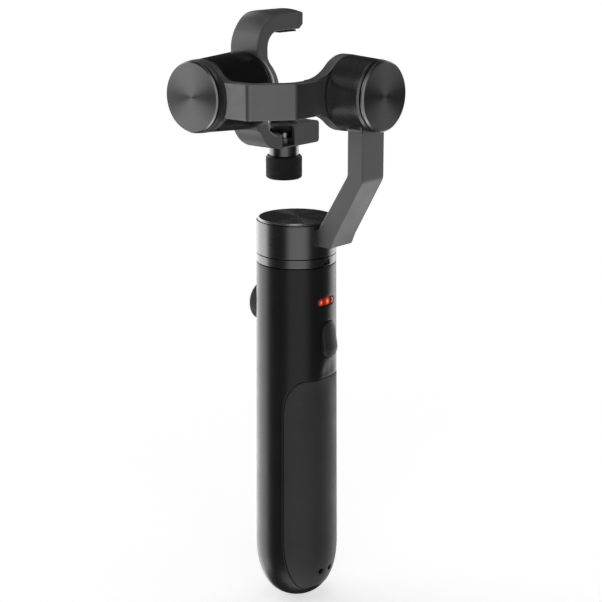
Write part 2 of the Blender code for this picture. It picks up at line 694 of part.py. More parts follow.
def tilt_rotor():
    profile = [(0, TILT_CUP_BACK), (16.3, TILT_CUP_BACK), (TILT_CUP_BACK_RADIUS, -22.9),
               (TILT_CUP_BACK_RADIUS, -24.0), (TILT_CUP_RADIUS, TILT_CUP_OPEN),
               (13.6, TILT_CUP_OPEN), (13.6, TILT_CUP_BACK - 1.8), (0, TILT_CUP_BACK - 1.8)]
    turned("tilt_rotor", profile, "rotor_gloss", (0, TILT_AXIS_Y, AXIS_HEIGHT), X_AXIS)


def camera_bracket():
    """The C-shaped holder: plate, hook over the camera, and foot with the clamp's bore."""
    outline = [(HOOK_TIP, HOOK_TOP, 0.5), (HOOK_TIP, 208.6, 0), (5.8, HOOK_UNDERSIDE, 0),
               (BRACKET_INNER, HOOK_UNDERSIDE, 7), (BRACKET_INNER, FOOT_FLOOR, 7),
               (BLOCK_START, FOOT_FLOOR, 0), (BLOCK_START, FOOT_TOP, 0.6), (FOOT_END, 165.3, 1.5),
               (FOOT_END, FOOT_BOTTOM, 1.5), (BRACKET_OUTER, FOOT_BOTTOM, 15),
               (BRACKET_OUTER, HOOK_TOP - 2.6, 11)]
    middle = (BRACKET_REAR + BRACKET_FRONT) / 2
    bracket = extruded("camera_bracket", rounded(outline), "XZ", middle,
                       BRACKET_FRONT - BRACKET_REAR, "bracket_metal")
    wings = []
    for name, turn in (("upper_wing", 1), ("lower_wing", -1)):
        shape = [(TILT_AXIS_Y - y * turn, AXIS_HEIGHT - x * turn)
                 for x, y in paddle(14.8, 7.9, 7.0, 21.0)]
        wings.append(extruded(name, shape, "YZ", (BRACKET_OUTER + BRACKET_INNER) / 2,
                              BRACKET_INNER - BRACKET_OUTER))
    shoulder = [(0, -17.0), (14.6, -17.0), (16.4, -19.6), (TILT_CUP_BACK_RADIUS, -21.0),
                (TILT_CUP_BACK_RADIUS, -22.0), (0, -22.0)]
    axis = (0, TILT_AXIS_Y, AXIS_HEIGHT)
    wings.append(baked(turned("shoulder", shoulder, None, axis, X_AXIS)))
    combine(bracket, wings, "UNION")

    clamp = (CLAMP_X, middle, 0)
    cuts = [
        turned("pad_bore", rod(PAD_RADIUS + 0.4, 190.0, 158.8), None, clamp, Z_AXIS,
               MEDIUM_STEPS),
        turned("sleeve_hole", rod(4.6, 160.0, 150.0), None, clamp, Z_AXIS, SMALL_STEPS),
        turned("board_pocket", rod(9.0, -19.4, -24.0), None, axis, X_AXIS, MEDIUM_STEPS),
    ]
    window = [(-7.5, 0.0, 0), (BLOCK_START, 0.0, 0), (BLOCK_START, 9.0, 0), (-2.5, 9.0, 4.5)]
    slot = extruded("spindle_window", rounded(window), "XY", 174.0, 30.4)
    combine(bracket, [baked(cut) for cut in cuts] + [slot], "DIFFERENCE")
    smooth(bracket)

    box("imu_board", (-21.2, TILT_AXIS_Y - 5.5, AXIS_HEIGHT - 5.5),
        (-20.0, TILT_AXIS_Y + 5.5, AXIS_HEIGHT + 5.5), "board_green")
    box("hook_pad", (-6.0, 4.2, 205.8), (4.8, 17.8, 206.5), "rubber")
    box("back_pad", (-14.7, 4.5, 172.0), (-13.9, 17.5, 199.0), "rubber")


def camera_clamp():
    """The sleeve in the foot, the spindle with its knob, and the pad that they lift."""
    origin = (CLAMP_X, (BRACKET_REAR + BRACKET_FRONT) / 2, 0)
    sleeve = [(4.3, 158.4), (4.3, FOOT_BOTTOM - GAP), (SLEEVE_RADIUS, FOOT_BOTTOM - GAP),
              (SLEEVE_RADIUS, SLEEVE_BOTTOM), (3.3, SLEEVE_BOTTOM), (3.3, 158.4)]
    turned("clamp_sleeve", sleeve, "bracket_metal", origin, Z_AXIS, MEDIUM_STEPS)
    turned("clamp_spindle", rod(SPINDLE_RADIUS, PAD_BOTTOM - GAP, KNOB_BOTTOM + GAP), "steel",
           origin, Z_AXIS, SMALL_STEPS)
    pad = [(0, PAD_TOP), (PAD_RADIUS, PAD_TOP), (PAD_RADIUS, PAD_BOTTOM + 1.7),
           (4.6, PAD_BOTTOM), (0, PAD_BOTTOM)]
    turned("clamp_pad", pad, "rubber", origin, Z_AXIS, MEDIUM_STEPS)
    knob = [(7.5, KNOB_TOP), (KNOB_RADIUS, KNOB_TOP - 0.7), (KNOB_RADIUS, KNOB_BOTTOM + 0.9),
            (7.3, KNOB_BOTTOM), (3.3, KNOB_BOTTOM), (3.3, 145.4), (7.0, 145.4), (7.0, KNOB_TOP)]
    turned("clamp_knob", knob, "knob_black", origin, Z_AXIS, LARGE_STEPS)


clear_scene()
parts = new_collection("gimbal_stabilizer")
cutters = new_collection("cutters")

handle_shell()
grip_panel()
lights()
controls()
handle_inside()
stator_base()
roll_arm()
end_discs()
tilt_arm()
tilt_rotor()
camera_bracket()
camera_clamp()
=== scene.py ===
"""Studio scene of a handheld camera gimbal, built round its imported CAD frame.

Lengths in the tables below are millimetres; MM turns them into metres. Heights and positions are in
the CAD frame: the origin is on the handle's axis, +Z is up, and the user's side is -Y.
"""
import json
import math

import bmesh
import bpy
import numpy as np
from mathutils import Matrix, Vector
from mathutils.geometry import delaunay_2d_cdt


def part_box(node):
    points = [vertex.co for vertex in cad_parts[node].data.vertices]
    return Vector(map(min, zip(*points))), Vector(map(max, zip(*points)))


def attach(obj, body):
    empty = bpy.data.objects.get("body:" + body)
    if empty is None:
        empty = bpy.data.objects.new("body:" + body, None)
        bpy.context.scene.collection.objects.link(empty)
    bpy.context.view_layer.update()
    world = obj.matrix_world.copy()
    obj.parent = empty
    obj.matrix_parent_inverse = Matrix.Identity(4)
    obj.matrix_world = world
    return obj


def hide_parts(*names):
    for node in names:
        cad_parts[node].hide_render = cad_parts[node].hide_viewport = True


MM = 0.001

X_AXIS = Vector((1, 0, 0))
Y_AXIS = Vector((0, 1, 0))
Z_AXIS = Vector((0, 0, 1))

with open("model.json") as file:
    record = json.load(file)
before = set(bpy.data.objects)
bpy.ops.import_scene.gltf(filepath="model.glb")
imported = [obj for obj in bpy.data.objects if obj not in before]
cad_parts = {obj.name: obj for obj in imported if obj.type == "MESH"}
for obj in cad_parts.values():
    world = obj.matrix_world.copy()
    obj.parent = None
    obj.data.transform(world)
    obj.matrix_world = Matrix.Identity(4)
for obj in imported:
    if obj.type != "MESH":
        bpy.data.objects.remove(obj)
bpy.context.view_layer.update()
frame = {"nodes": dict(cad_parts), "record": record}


# ---- sizes taken from the CAD nodes
def node_box(name):
    """Lowest and highest corner of a CAD node, in millimetres."""
    low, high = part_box(name)
    return low / MM, high / MM


def centre(name, axis):
    """Middle of a CAD node's box along an axis (0, 1 or 2), in millimetres."""
    low, high = node_box(name)
    return (low[axis] + high[axis]) / 2


shell_low, shell_high = node_box("handle_shell")
HANDLE_TOP = shell_high.z
HANDLE_BOTTOM = shell_low.z
HANDLE_RADIUS = 18.0
HANDLE_LOW_RADIUS = shell_high.x
ROUND_START = -30.5

BASE_TOP = node_box("stator_ring")[1].z
BASE_BOTTOM = 104.4
AXIS_HEIGHT = centre("roll_disc", 2)
TILT_Y = centre("tilt_disc", 1)
TILT_AXIS = (0, TILT_Y, AXIS_HEIGHT)
ROLL_AXIS = (0, 0, AXIS_HEIGHT)
CLAMP_AXIS = (centre("clamp_pad", 0), TILT_Y, 0)
ARM_HALF = 7.5
MOTOR_BORE = 13.7
DISC_RADIUS, DISC_NECK = 15.0, 14.0

key_low, key_high = node_box("power_button")
KEY_HEIGHT = centre("power_button", 2)
KEY_AZIMUTH = 3.0
TRIGGER_HEIGHT = centre("trigger_button", 2)
WINDOW_HEIGHT = centre("led_window", 2)
PORT_HEIGHT = centre("charging_port", 2)
LANYARD_HEIGHT = -42.4
LANYARD_AZIMUTH = 10.0


# ---- outlines
def rounded(corners, step=5.0):
    """Outline points from (x, y, radius) corners; a radius of 0 keeps the corner sharp."""
    outline = []
    count = len(corners)
    for index, corner in enumerate(corners):
        x, y = corner[:2]
        radius = corner[2] if len(corner) > 2 else 0
        here = Vector((x, y))
        if radius == 0:
            outline.append((x, y))
            continue
        before = (Vector(corners[index - 1][:2]) - here).normalized()
        after = (Vector(corners[(index + 1) % count][:2]) - here).normalized()
        half = before.angle(after) / 2
        centre = here + (before + after).normalized() * (radius / math.sin(half))
        start = here + before * (radius / math.tan(half)) - centre
        sweep = start.angle_signed(here + after * (radius / math.tan(half)) - centre)
        pieces = max(3, round(abs(math.degrees(sweep)) / step))
        for part in range(pieces + 1):
            turn = Matrix.Rotation(-sweep * part / pieces, 2)
            outline.append(tuple(centre + turn @ start))
    return outline


def pill(width, height, x=0.0, y=0.0, steps=24):
    """A pill outline round a centre, with the same number of points at every size."""
    radius = min(width, height) / 2
    start = -math.pi / 2 if width >= height else 0.0
    outline = []
    for end in (1, -1):
        for step in range(2 * steps + 1):
            angle = start + math.pi / (2 * steps) * step + (0 if end > 0 else math.pi)
            outline.append((x + end * max(0.0, width / 2 - radius) + radius * math.cos(angle),
                            y + end * max(0.0, height / 2 - radius) + radius * math.sin(angle)))
    return outline


def resampled(outline, spacing):
    """A closed outline with points at an even spacing along it."""
    points = np.array(outline + [outline[0]], float)
    length = np.concatenate(([0], np.cumsum(np.hypot(*np.diff(points, axis=0).T))))
    count = max(8, round(length[-1] / spacing))
    along = np.linspace(0, length[-1], count, endpoint=False)
    return np.column_stack([np.interp(along, length, points[:, axis]) for axis in (0, 1)])


def paddle(radius, half, fillet, reach):
    """A disc with a bar running out of it towards -x, joined by hollow fillets."""
    fillet_x = -math.sqrt((radius + fillet) ** 2 - (half + fillet) ** 2)
    lean = math.atan2(half + fillet, fillet_x)
    upper = []
    for step in range(49):
        angle = lean * step / 48
        upper.append((radius * math.cos(angle), radius * math.sin(angle)))
    for step in range(1, 19):
        angle = lean - math.pi + (math.pi / 2 - lean) * step / 18
        upper.append((fillet_x + fillet * math.cos(angle),
                      half + fillet + fillet * math.sin(angle)))
    upper.append((-reach, half))
    lower = [(x, -y) for x, y in upper[:0:-1]]
    return upper + lower


# ---- mesh building
def new_object(name, mesh):
    item = bpy.data.objects.new(name, mesh)
    bpy.context.scene.collection.objects.link(item)
    return item


def from_lists(name, verts, faces, outward=True):
    mesh = bpy.data.meshes.new(name)
    mesh.from_pydata([tuple(float(part) * MM for part in vert) for vert in verts], [], faces)
    if outward:
        shape = bmesh.new()
        shape.from_mesh(mesh)
        bmesh.ops.recalc_face_normals(shape, faces=shape.faces)
        shape.to_mesh(mesh)
        shape.free()
    return new_object(name, mesh)


def facing(origin, direction):
    turn = Vector(direction).to_track_quat("Z", "Y").to_matrix().to_4x4()
    return Matrix.Translation(Vector(origin) * MM) @ turn


def lathe(name, profile, origin=(0, 0, 0), direction=Z_AXIS, steps=180, relief=None):
    """A turned solid from (radius, height) pairs. relief(angle, radius, height) adds to it."""
    verts, rings, faces = [], [], []
    for radius, height in profile:
        if radius < 0.0001:
            rings.append([len(verts)])
            verts.append((0.0, 0.0, height))
            continue
        rings.append(list(range(len(verts), len(verts) + steps)))
        for step in range(steps):
            angle = math.tau * step / steps
            reach = radius + (relief(angle, radius, height) if relief else 0.0)
            verts.append((reach * math.cos(angle), reach * math.sin(angle), height))
    pairs = list(zip(rings, rings[1:]))
    if len(rings[0]) > 1 or len(rings[-1]) > 1:
        pairs.append((rings[-1], rings[0]))
    for first, second in pairs:
        for step in range(steps):
            after = (step + 1) % steps
            if len(first) == 1 and len(second) == 1:
                continue
            if len(first) == 1:
                faces.append((first[0], second[step], second[after]))
            elif len(second) == 1:
                faces.append((first[step], second[0], first[after]))
            else:
                faces.append((first[step], second[step], second[after], first[after]))
    item = from_lists(name, verts, faces)
    item.data.transform(facing(origin, direction))
    return item


def placed(plane, a, b, depth):
    """A point of an outline in the XY, XZ or YZ plane, its depth along the third axis."""
    return {"XY": (a, b, depth), "XZ": (a, depth, b), "YZ": (depth, a, b)}[plane]


def stacked(rings, count):
    """Faces between stacked rings of points, with a cap at either end."""
    faces = []
    for low in range(0, (rings - 1) * count, count):
        high = low + count
        for index in range(count):
            after = (index + 1) % count
            faces.append((low + index, low + after, high + after, high + index))
    last = (rings - 1) * count
    return faces + [tuple(range(count))[::-1], tuple(range(last, last + count))]


def prism(name, outline, plane, low, high):
    """An outline given depth, with sharp ends."""
    verts = [placed(plane, a, b, depth) for depth in (low, high) for a, b in outline]
    return from_lists(name, verts, stacked(2, len(outline)))


def sense(points):
    """1 for an outline that runs anticlockwise, -1 for the other way."""
    after = np.roll(points, -1, axis=0)
    return 1 if np.sum(points[:, 0] * after[:, 1] - points[:, 1] * after[:, 0]) > 0 else -1


def inset(outline, amount):
    """An outline moved inwards by the same amount everywhere."""
    points = np.array(outline, float)
    run = np.roll(points, -1, axis=0) - points
    normal = np.column_stack([run[:, 1], -run[:, 0]]) / np.hypot(*run.T)[:, None]
    total = normal + np.roll(normal, 1, axis=0)
    mitre = total / np.maximum(np.sum(total * normal, axis=1), 0.3)[:, None]
    return points - mitre * amount * sense(points)


def divided(outline, longest):
    """The same outline with long straight runs split up, and points that coincide dropped."""
    points = []
    for here, there in zip(outline, list(outline[1:]) + [outline[0]]):
        length = math.dist(here, there)
        if length < 0.01:
            continue
        parts = max(1, math.ceil(length / longest))
        for part in range(parts):
            points.append((here[0] + (there[0] - here[0]) * part / parts,
                           here[1] + (there[1] - here[1]) * part / parts))
    return points


def slab(name, outline, plane, low, high, ease, bulge=None, longest=200.0):
    """An outline given depth, its end edges rounded over. bulge(a, b, depth) moves a point."""
    even = divided(outline, longest)
    ends = [ease * (1 - math.cos(math.radians(turn))) for turn in (0, 22.5, 45, 67.5, 90)]
    depths = [low + rise for rise in ends]
    if bulge:
        depths += list(np.linspace(low + ease, high - ease, 12))[1:-1]
    depths += [high - rise for rise in ends[::-1]]
    verts = []
    for depth in depths:
        near = min(depth - low, high - depth, ease)
        amount = ease - math.sqrt(max(0.0, ease * ease - (ease - near) ** 2))
        for a, b in inset(even, amount):
            if bulge:
                a, b = bulge(a, b, depth)
            verts.append(placed(plane, a, b, depth))
    return from_lists(name, verts, stacked(len(depths), len(even)))


def block(name, low, high):
    corners = [(low[0], low[1]), (high[0], low[1]), (high[0], high[1]), (low[0], high[1])]
    return prism(name, corners, "XY", low[2], high[2])


def applied(item):
    """Replaces an object's mesh by its evaluated one."""
    bpy.context.view_layer.update()
    graph = bpy.context.evaluated_depsgraph_get()
    mesh = bpy.data.meshes.new_from_object(item.evaluated_get(graph), preserve_all_data_layers=True,
                                           depsgraph=graph)
    item.modifiers.clear()
    item.data = mesh
    return item


def combine(item, others, operation):
    for other in others:
        modifier = item.modifiers.new(other.name, "BOOLEAN")
        modifier.operation = operation
        modifier.object = other
        modifier.solver = "MANIFOLD"
    applied(item)
    for other in others:
        bpy.data.objects.remove(other)
    return item


def eased(item, width, segments=3, angle=32.0):
    """Rounded edges, their width in millimetres."""
    modifier = item.modifiers.new("eased edges", "BEVEL")
    modifier.width = width * MM
    modifier.segments = segments
    modifier.limit_method = "ANGLE"
    modifier.angle_limit = math.radians(angle)
    modifier.use_clamp_overlap = False
    modifier.miter_outer = "MITER_ARC"
    return applied(item)


def smooth(item, angle=34.0, weighted=True):
    item.data.validate()
    item.data.shade_smooth()
    item.data.set_sharp_from_angle(angle=math.radians(angle))
    if weighted:
        modifier = item.modifiers.new("even shading", "WEIGHTED_NORMAL")
        modifier.keep_sharp = True
        modifier.weight = 60
        applied(item)
    return item


# ---- materials
class Tree:
    """A short way to write a node tree."""

    def __init__(self, owner):
        owner.use_nodes = True
        self.tree = owner.node_tree

    def feed(self, made, values):
        """Sets a node's inputs from a dictionary of numbers, colours and sockets."""
        for key, value in values.items():
            if isinstance(value, bpy.types.NodeSocket):
                self.tree.links.new(value, made.inputs[key])
            else:
                made.inputs[key].default_value = value
        return made

    def node(self, kind, values=None, **settings):
        made = self.tree.nodes.new(kind)
        for key, value in settings.items():
            setattr(made, key, value)
        return self.feed(made, values or {})

    def spread(self, value, low, high, start=0.3, end=0.7, **settings):
        """Maps a value onto a range."""
        limits = {"Value": value, "From Min": start, "From Max": end, "To Min": low, "To Max": high}
        return self.node("ShaderNodeMapRange", limits, **settings).outputs["Result"]

    def math(self, operation, first, second=0.0, clamp=False):
        return self.node("ShaderNodeMath", {0: first, 1: second}, operation=operation,
                         use_clamp=clamp).outputs[0]


class Graph(Tree):
    """A material's node tree, placed by object coordinates."""

    def __init__(self, name):
        self.material = bpy.data.materials.new(name)
        super().__init__(self.material)
        self.shader = self.tree.nodes["Principled BSDF"]
        self.place = self.node("ShaderNodeTexCoord").outputs["Object"]

    def surface(self, values):
        self.feed(self.shader, values)

    def noise(self, scale, detail=3.0, rough=0.55):
        values = {"Scale": scale, "Detail": detail, "Roughness": rough, "Vector": self.place}
        return self.node("ShaderNodeTexNoise", values).outputs["Fac"]

    def mixed(self, share, first, second):
        first, second = [(*colour, 1.0) if isinstance(colour, tuple) else colour
                         for colour in (first, second)]
        return self.node("ShaderNodeMix", {0: share, 6: first, 7: second},
                         data_type="RGBA").outputs[2]

    def bump(self, height, distance, strength=1.0):
        """Adds a bump on top of those that the shader has already."""
        made = self.node("ShaderNodeBump", {"Distance": distance, "Strength": strength,
                                            "Height": height})
        if self.shader.inputs["Normal"].links:
            self.feed(made, {"Normal": self.shader.inputs["Normal"].links[0].from_socket})
        self.surface({"Normal": made.outputs["Normal"]})

    def worn_edge(self):
        """1 on convex edges and 0 elsewhere."""
        made = self.node("ShaderNodeNewGeometry")
        return self.spread(made.outputs["Pointiness"], 0.0, 1.0, 0.53, 0.60)


def finish(name, colour, roughness, metallic=0.0, grain=900.0, grain_depth=0.004, variation=0.05,
           tone=0.12, wear=0.25, coat=0.0, sheen=0.0):
    """A fine-grained surface: tone and gloss drift slowly, and its edges are worn a little."""
    graph = Graph(name)
    graph.surface({"Metallic": metallic, "IOR": 1.45})
    if coat:
        graph.surface({"Coat Weight": coat, "Coat Roughness": 0.12})
    if sheen:
        graph.surface({"Sheen Weight": sheen, "Sheen Roughness": 0.45})
    drift = graph.spread(graph.noise(35.0, 4.0), 0.0, 1.0)
    dark, light = [tuple(part * share for part in colour) for share in (1 - tone, 1 + tone)]
    base = graph.mixed(drift, dark, light)
    if wear:
        rubbed = tuple(min(1.0, part * 2.2 + 0.02) for part in colour)
        worn = graph.math("MULTIPLY", graph.worn_edge(), graph.spread(graph.noise(260.0), 0.2, 1.0))
        base = graph.mixed(graph.math("MULTIPLY", worn, wear), base, rubbed)
    smudge = graph.spread(graph.noise(60.0, 5.0, 0.6), roughness - variation,
                          roughness + variation, 0.35, 0.65)
    graph.surface({"Base Color": base, "Roughness": smudge})
    graph.bump(graph.noise(grain * 4, 2.0, 0.7), grain_depth * MM)
    return graph


def make_materials():
    """The pieces' materials, most of them by the name of the CAD slot that they stand in for."""
    graphs = {
        "handle_black": finish("handle_satin", (0.0075, 0.0075, 0.008), 0.31, grain=1100,
                               grain_depth=0.006, variation=0.03, wear=0.10),
        "grip_soft": finish("grip_rubber", (0.026, 0.026, 0.0265), 0.60, grain=700,
                            grain_depth=0.03, sheen=0.15, wear=0.15),
        "arm_metal": finish("arm_anodised", (0.235, 0.235, 0.24), 0.48, 1.0, grain=1500,
                            variation=0.04, tone=0.05, wear=0.12),
        "cup": finish("cup_anodised", (0.17, 0.17, 0.174), 0.27, 1.0, grain=1500,
                      grain_depth=0.001, variation=0.012, tone=0.04, wear=0.10),
        "bracket_metal": finish("bracket_blasted", (0.19, 0.19, 0.194), 0.46, 1.0,
                                grain_depth=0.006, variation=0.04, tone=0.06, wear=0.12),
        "rotor_gloss": finish("rotor_gloss", (0.004, 0.004, 0.0042), 0.22, grain=1200,
                              grain_depth=0.001, variation=0.015, coat=0.3, wear=0.05),
        "knob_black": finish("knob_black", (0.012, 0.012, 0.0125), 0.42, 0.3, grain_depth=0.01,
                             wear=0.35),
        "button_plastic": finish("button_satin", (0.024, 0.024, 0.0245), 0.45,
                                 grain_depth=0.006, wear=0.2),
        "rubber": finish("pad_rubber", (0.010, 0.010, 0.010), 0.70, grain=700, grain_depth=0.02,
                         wear=0.1),
        "steel": finish("turned_steel", (0.50, 0.50, 0.51), 0.26, 1.0, grain=1500,
                        grain_depth=0.003, tone=0.04, wear=0.0),
        # painted shade: a near-black colour that stands in for the shade inside the pointer notch
        # and the dish round the tilt disc
        "painted_shade_black": finish("painted_shade_recess", (0.002, 0.002, 0.002), 0.55, grain=700,
                            grain_depth=0.01, wear=0.0),
        "led_lens": window_glow(),
    }
    grip = graphs["grip_soft"]
    cells = grip.node("ShaderNodeTexVoronoi", {"Scale": 2600.0, "Vector": grip.place},
                      distance="CHEBYCHEV")
    grip.bump(cells.outputs["Distance"], 0.02 * MM, 0.5)
    for axis in "XYZ":
        graphs["disc_" + axis] = spun_disc(axis)
    graphs["disc_metal"] = graphs["disc_Z"]
    return {name: graph.material for name, graph in graphs.items()}


def spun_disc(axis):
    """Turned metal: fine circular grooves round one axis, which fan the light into sectors."""
    graph = finish("spun_disc_" + axis.lower(), (0.28, 0.28, 0.283), 0.17, 1.0, grain=1500,
                   grain_depth=0.0003, variation=0.01, tone=0.03, wear=0.05)
    tangent = graph.node("ShaderNodeTangent", direction_type="RADIAL", axis=axis)
    graph.surface({"Anisotropic": 1.0, "Tangent": tangent.outputs[0]})
    return graph


def window_glow():
    """Dark red window with two lamps glowing through it, placed by the object's own coordinates."""
    graph = finish("window_glow", (0.05, 0.004, 0.002), 0.22, grain_depth=0.002, coat=0.5,
                   wear=0.0)
    x, _, z = graph.node("ShaderNodeSeparateXYZ", {0: graph.place}).outputs

    def offset(value, middle, width):
        return graph.math("DIVIDE", graph.math("SUBTRACT", value, middle * MM), width * MM)

    def fading(value):
        return graph.math("EXPONENT", graph.math("MULTIPLY", value, -1.0))

    lamps = []
    for middle, width, height in ((-3.6, 0.75, 0.9), (0.7, 1.1, 1.3)):
        across = offset(x, middle, width)
        up = offset(z, WINDOW_HEIGHT, height)
        lamps.append(fading(graph.math("ADD", graph.math("MULTIPLY", across, across),
                                       graph.math("MULTIPLY", up, up))))
    across = graph.math("ABSOLUTE", offset(x, -1.3, 3.9))
    glow = fading(graph.math("POWER", across, 4.0))
    core = graph.math("ADD", lamps[0], lamps[1], clamp=True)
    power = graph.math("ADD", graph.math("MULTIPLY", glow, 0.16),
                       graph.math("MULTIPLY", core, 0.95))
    graph.surface({"Emission Color": graph.mixed(core, (1.0, 0.045, 0.008), (1.0, 0.22, 0.09)),
                   "Emission Strength": power})
    return graph


# ---- handle skin
def blunt_end(angle, depth):
    """Radius and height on the handle's blunt lower end, from 0 at its start to 90 degrees."""
    power = 2 / 2.4
    return (HANDLE_LOW_RADIUS * max(0.0, math.cos(angle)) ** power,
            ROUND_START - depth * math.sin(angle) ** power)


def build_table():
    """Distance down the handle's profile, with the radius and height there."""
    rows = [(HANDLE_RADIUS, HANDLE_TOP)]
    for share in np.linspace(0, 1, 60)[1:]:
        height = HANDLE_TOP + (ROUND_START - HANDLE_TOP) * share
        rows.append((HANDLE_RADIUS + (HANDLE_LOW_RADIUS - HANDLE_RADIUS) * share, height))
    depth = ROUND_START - HANDLE_BOTTOM
    for angle in np.radians(np.linspace(0, 89.2, 90))[1:]:
        rows.append(blunt_end(angle, depth))
    rows = np.array(rows)
    along = np.concatenate(([0], np.cumsum(np.hypot(*np.diff(rows, axis=0).T))))
    return along, rows[:, 0], rows[:, 1]


TABLE_S, TABLE_R, TABLE_Z = build_table()
DEGREE = math.radians(1) * HANDLE_RADIUS
SEAM_START, SEAM_END = -112.5, 247.5
EDGE_EASE = 0.3
EASE_STEPS = (0.1, 0.3)
RECESS_DEPTH = 1.35
SHELL_DEPTH = 2.9
SKIN_RISE, SKIN_DEPTH = 0.12, 1.25


def down(height):
    """Distance down the profile at a height."""
    return np.interp(-np.asarray(height, float), -TABLE_Z, TABLE_S)


def radius_at(height):
    return np.interp(-np.asarray(height, float), -TABLE_Z, TABLE_R)


def profile_at(points):
    """The handle's radius and height at flat coordinates."""
    return (np.interp(points[:, 1], TABLE_S, TABLE_R), np.interp(points[:, 1], TABLE_S, TABLE_Z))


def unrolled(azimuths, heights):
    """Flat coordinates of points given by azimuth and height."""
    return np.column_stack([np.asarray(azimuths) * DEGREE, down(heights)])


def facing_outline(outline, azimuth=0.0):
    """Flat coordinates of an (across, height) outline that faces an azimuth."""
    across, height = np.array(outline).T
    return unrolled(azimuth + np.degrees(np.arcsin(across / radius_at(height))), height)


def grip_outline(margin):
    """The grip panel's edge, with elliptical corners at the top and long ones at the bottom."""
    angle = np.linspace(-1, 1, 181)
    across = np.sin(angle * math.pi / 2)
    corner = np.clip((np.abs(across) - 0.55) / 0.45, 0, 1)
    drop = 1 - np.sqrt(np.clip(1 - corner * corner, 0, 1))
    half = 67.0 + math.degrees(margin / HANDLE_RADIUS)
    top = 52.0 + margin - 16.0 * drop
    bottom = -51.0 - margin + 25.0 * drop
    azimuths = np.concatenate([across, across[::-1]]) * half
    heights = np.concatenate([bottom, top[::-1]])
    return resampled([tuple(point) for point in unrolled(azimuths, heights)], 0.9)


def inside(points, loop):
    """True for the points inside a closed outline."""
    result = np.zeros(len(points), bool)
    x, y = points.T
    for (ax, ay), (bx, by) in zip(loop, np.roll(loop, -1, axis=0)):
        crosses = (ay > y) != (by > y)
        if ay != by:
            result ^= crosses & (x < (bx - ax) * (y - ay) / (by - ay) + ax)
    return result


def distance_to(points, loop):
    """Distance from points to a closed outline."""
    best = np.full(len(points), 1e9)
    for first, second in zip(loop, np.roll(loop, -1, axis=0)):
        run = second - first
        share = np.clip(((points - first) @ run) / max(run @ run, 1e-12), 0, 1)
        best = np.minimum(best, np.hypot(*(points - first - share[:, None] * run).T))
    return best


def grown(loop, amount):
    """A closed outline moved outwards, or inwards when the amount is negative."""
    run = np.roll(loop, -1, axis=0) - np.roll(loop, 1, axis=0)
    normal = np.column_stack([run[:, 1], -run[:, 0]]) / np.hypot(*run.T)[:, None]
    return loop + normal * amount * sense(loop)


def eased_drop(distance, radius):
    """How far a rounded edge falls away, at a distance from that edge."""
    near = np.clip(radius - distance, 0, radius)
    return radius - np.sqrt(radius * radius - near * near)


def edge_drop(points, loops):
    """How far the surface falls away at the eased edges along some outlines."""
    return np.max([eased_drop(distance_to(points, loop), EDGE_EASE) for loop in loops], axis=0)


def scoop(azimuth, height):
    """Depth of the thumb hollow that runs from the key down into the grip."""
    fall = np.clip((63.0 - height) / 22.0, 0, 1)
    depth = 0.95 * np.exp(-((height - 54.0) / 6.0) ** 2) * np.clip((64.0 - height) / 4.0, 0, 1)
    width = 17.0 + 30.0 * fall
    share = np.clip(1 - np.abs(azimuth - 6.0) / width, 0, 1)
    return depth * share ** 3 * (share * (6 * share - 15) + 10)


def wrapped(name, points, triangles, outer, inner, closed_bottom):
    """A closed curved shell: a flat mesh wrapped twice round the handle's axis, and its edges."""
    azimuth = points[:, 0] / DEGREE
    pairs = {}
    left = np.where(np.abs(azimuth - SEAM_START) < 1e-4)[0]
    right = np.where(np.abs(azimuth - SEAM_END) < 1e-4)[0]
    if len(left) and len(right):
        left = left[np.argsort(points[left, 1])]
        right = right[np.argsort(points[right, 1])]
        pairs = dict(zip(right.tolist(), left.tolist()))
    triangles = [tuple(pairs.get(index, index) for index in face[::-1]) for face in triangles]
    used = sorted({index for face in triangles for index in face})
    order = {index: place for place, index in enumerate(used)}
    triangles = [tuple(order[index] for index in face) for face in triangles]
    count = len(used)
    angle = np.radians(azimuth[used])
    verts = []
    for radius, height in (outer(points[used]), inner(points[used])):
        verts += list(zip(radius * np.sin(angle), -radius * np.cos(angle), height))
    faces = list(triangles) + [tuple(index + count for index in face[::-1]) for face in triangles]
    edges = dict.fromkeys(pair for face in triangles for pair in zip(face, face[1:] + face[:1]))
    bottom = points[used][:, 1] > TABLE_S[-1] - 1e-4
    poles = {}
    for first, second in edges:
        if (second, first) in edges:
            continue
        if closed_bottom and bottom[first] and bottom[second]:
            for side, shift in ((0, 0), (1, count)):
                if side not in poles:
                    poles[side] = len(verts)
                    level = verts[first + shift][2]
                    verts.append((0.0, 0.0, level))
                face = (second + shift, first + shift, poles[side])
                faces.append(face if side == 0 else face[::-1])
        else:
            faces.append((second, first, first + count, second + count))
    return from_lists(name, verts, faces, outward=False)


def sheet(free, loops, holes, edge=None):
    """Triangles through free points and loops, less those in the holes and beyond the edge."""
    coordinates = [Vector(point) for point in free]
    edges = []
    for loop in loops:
        start = len(coordinates)
        coordinates += [Vector(point) for point in loop]
        edges += [(start + index, start + (index + 1) % len(loop)) for index in range(len(loop))]
    verts, _, faces, *_ = delaunay_2d_cdt(coordinates, edges, [], 0, 1e-6)
    spots = np.array([tuple(vert) for vert in verts])
    middles = spots[np.array([tuple(face) for face in faces])].mean(axis=1)
    keep = np.ones(len(faces), bool) if edge is None else inside(middles, edge)
    for hole in holes:
        keep &= ~inside(middles, hole)
    return spots, [tuple(face) for face, kept in zip(faces, keep) if kept]


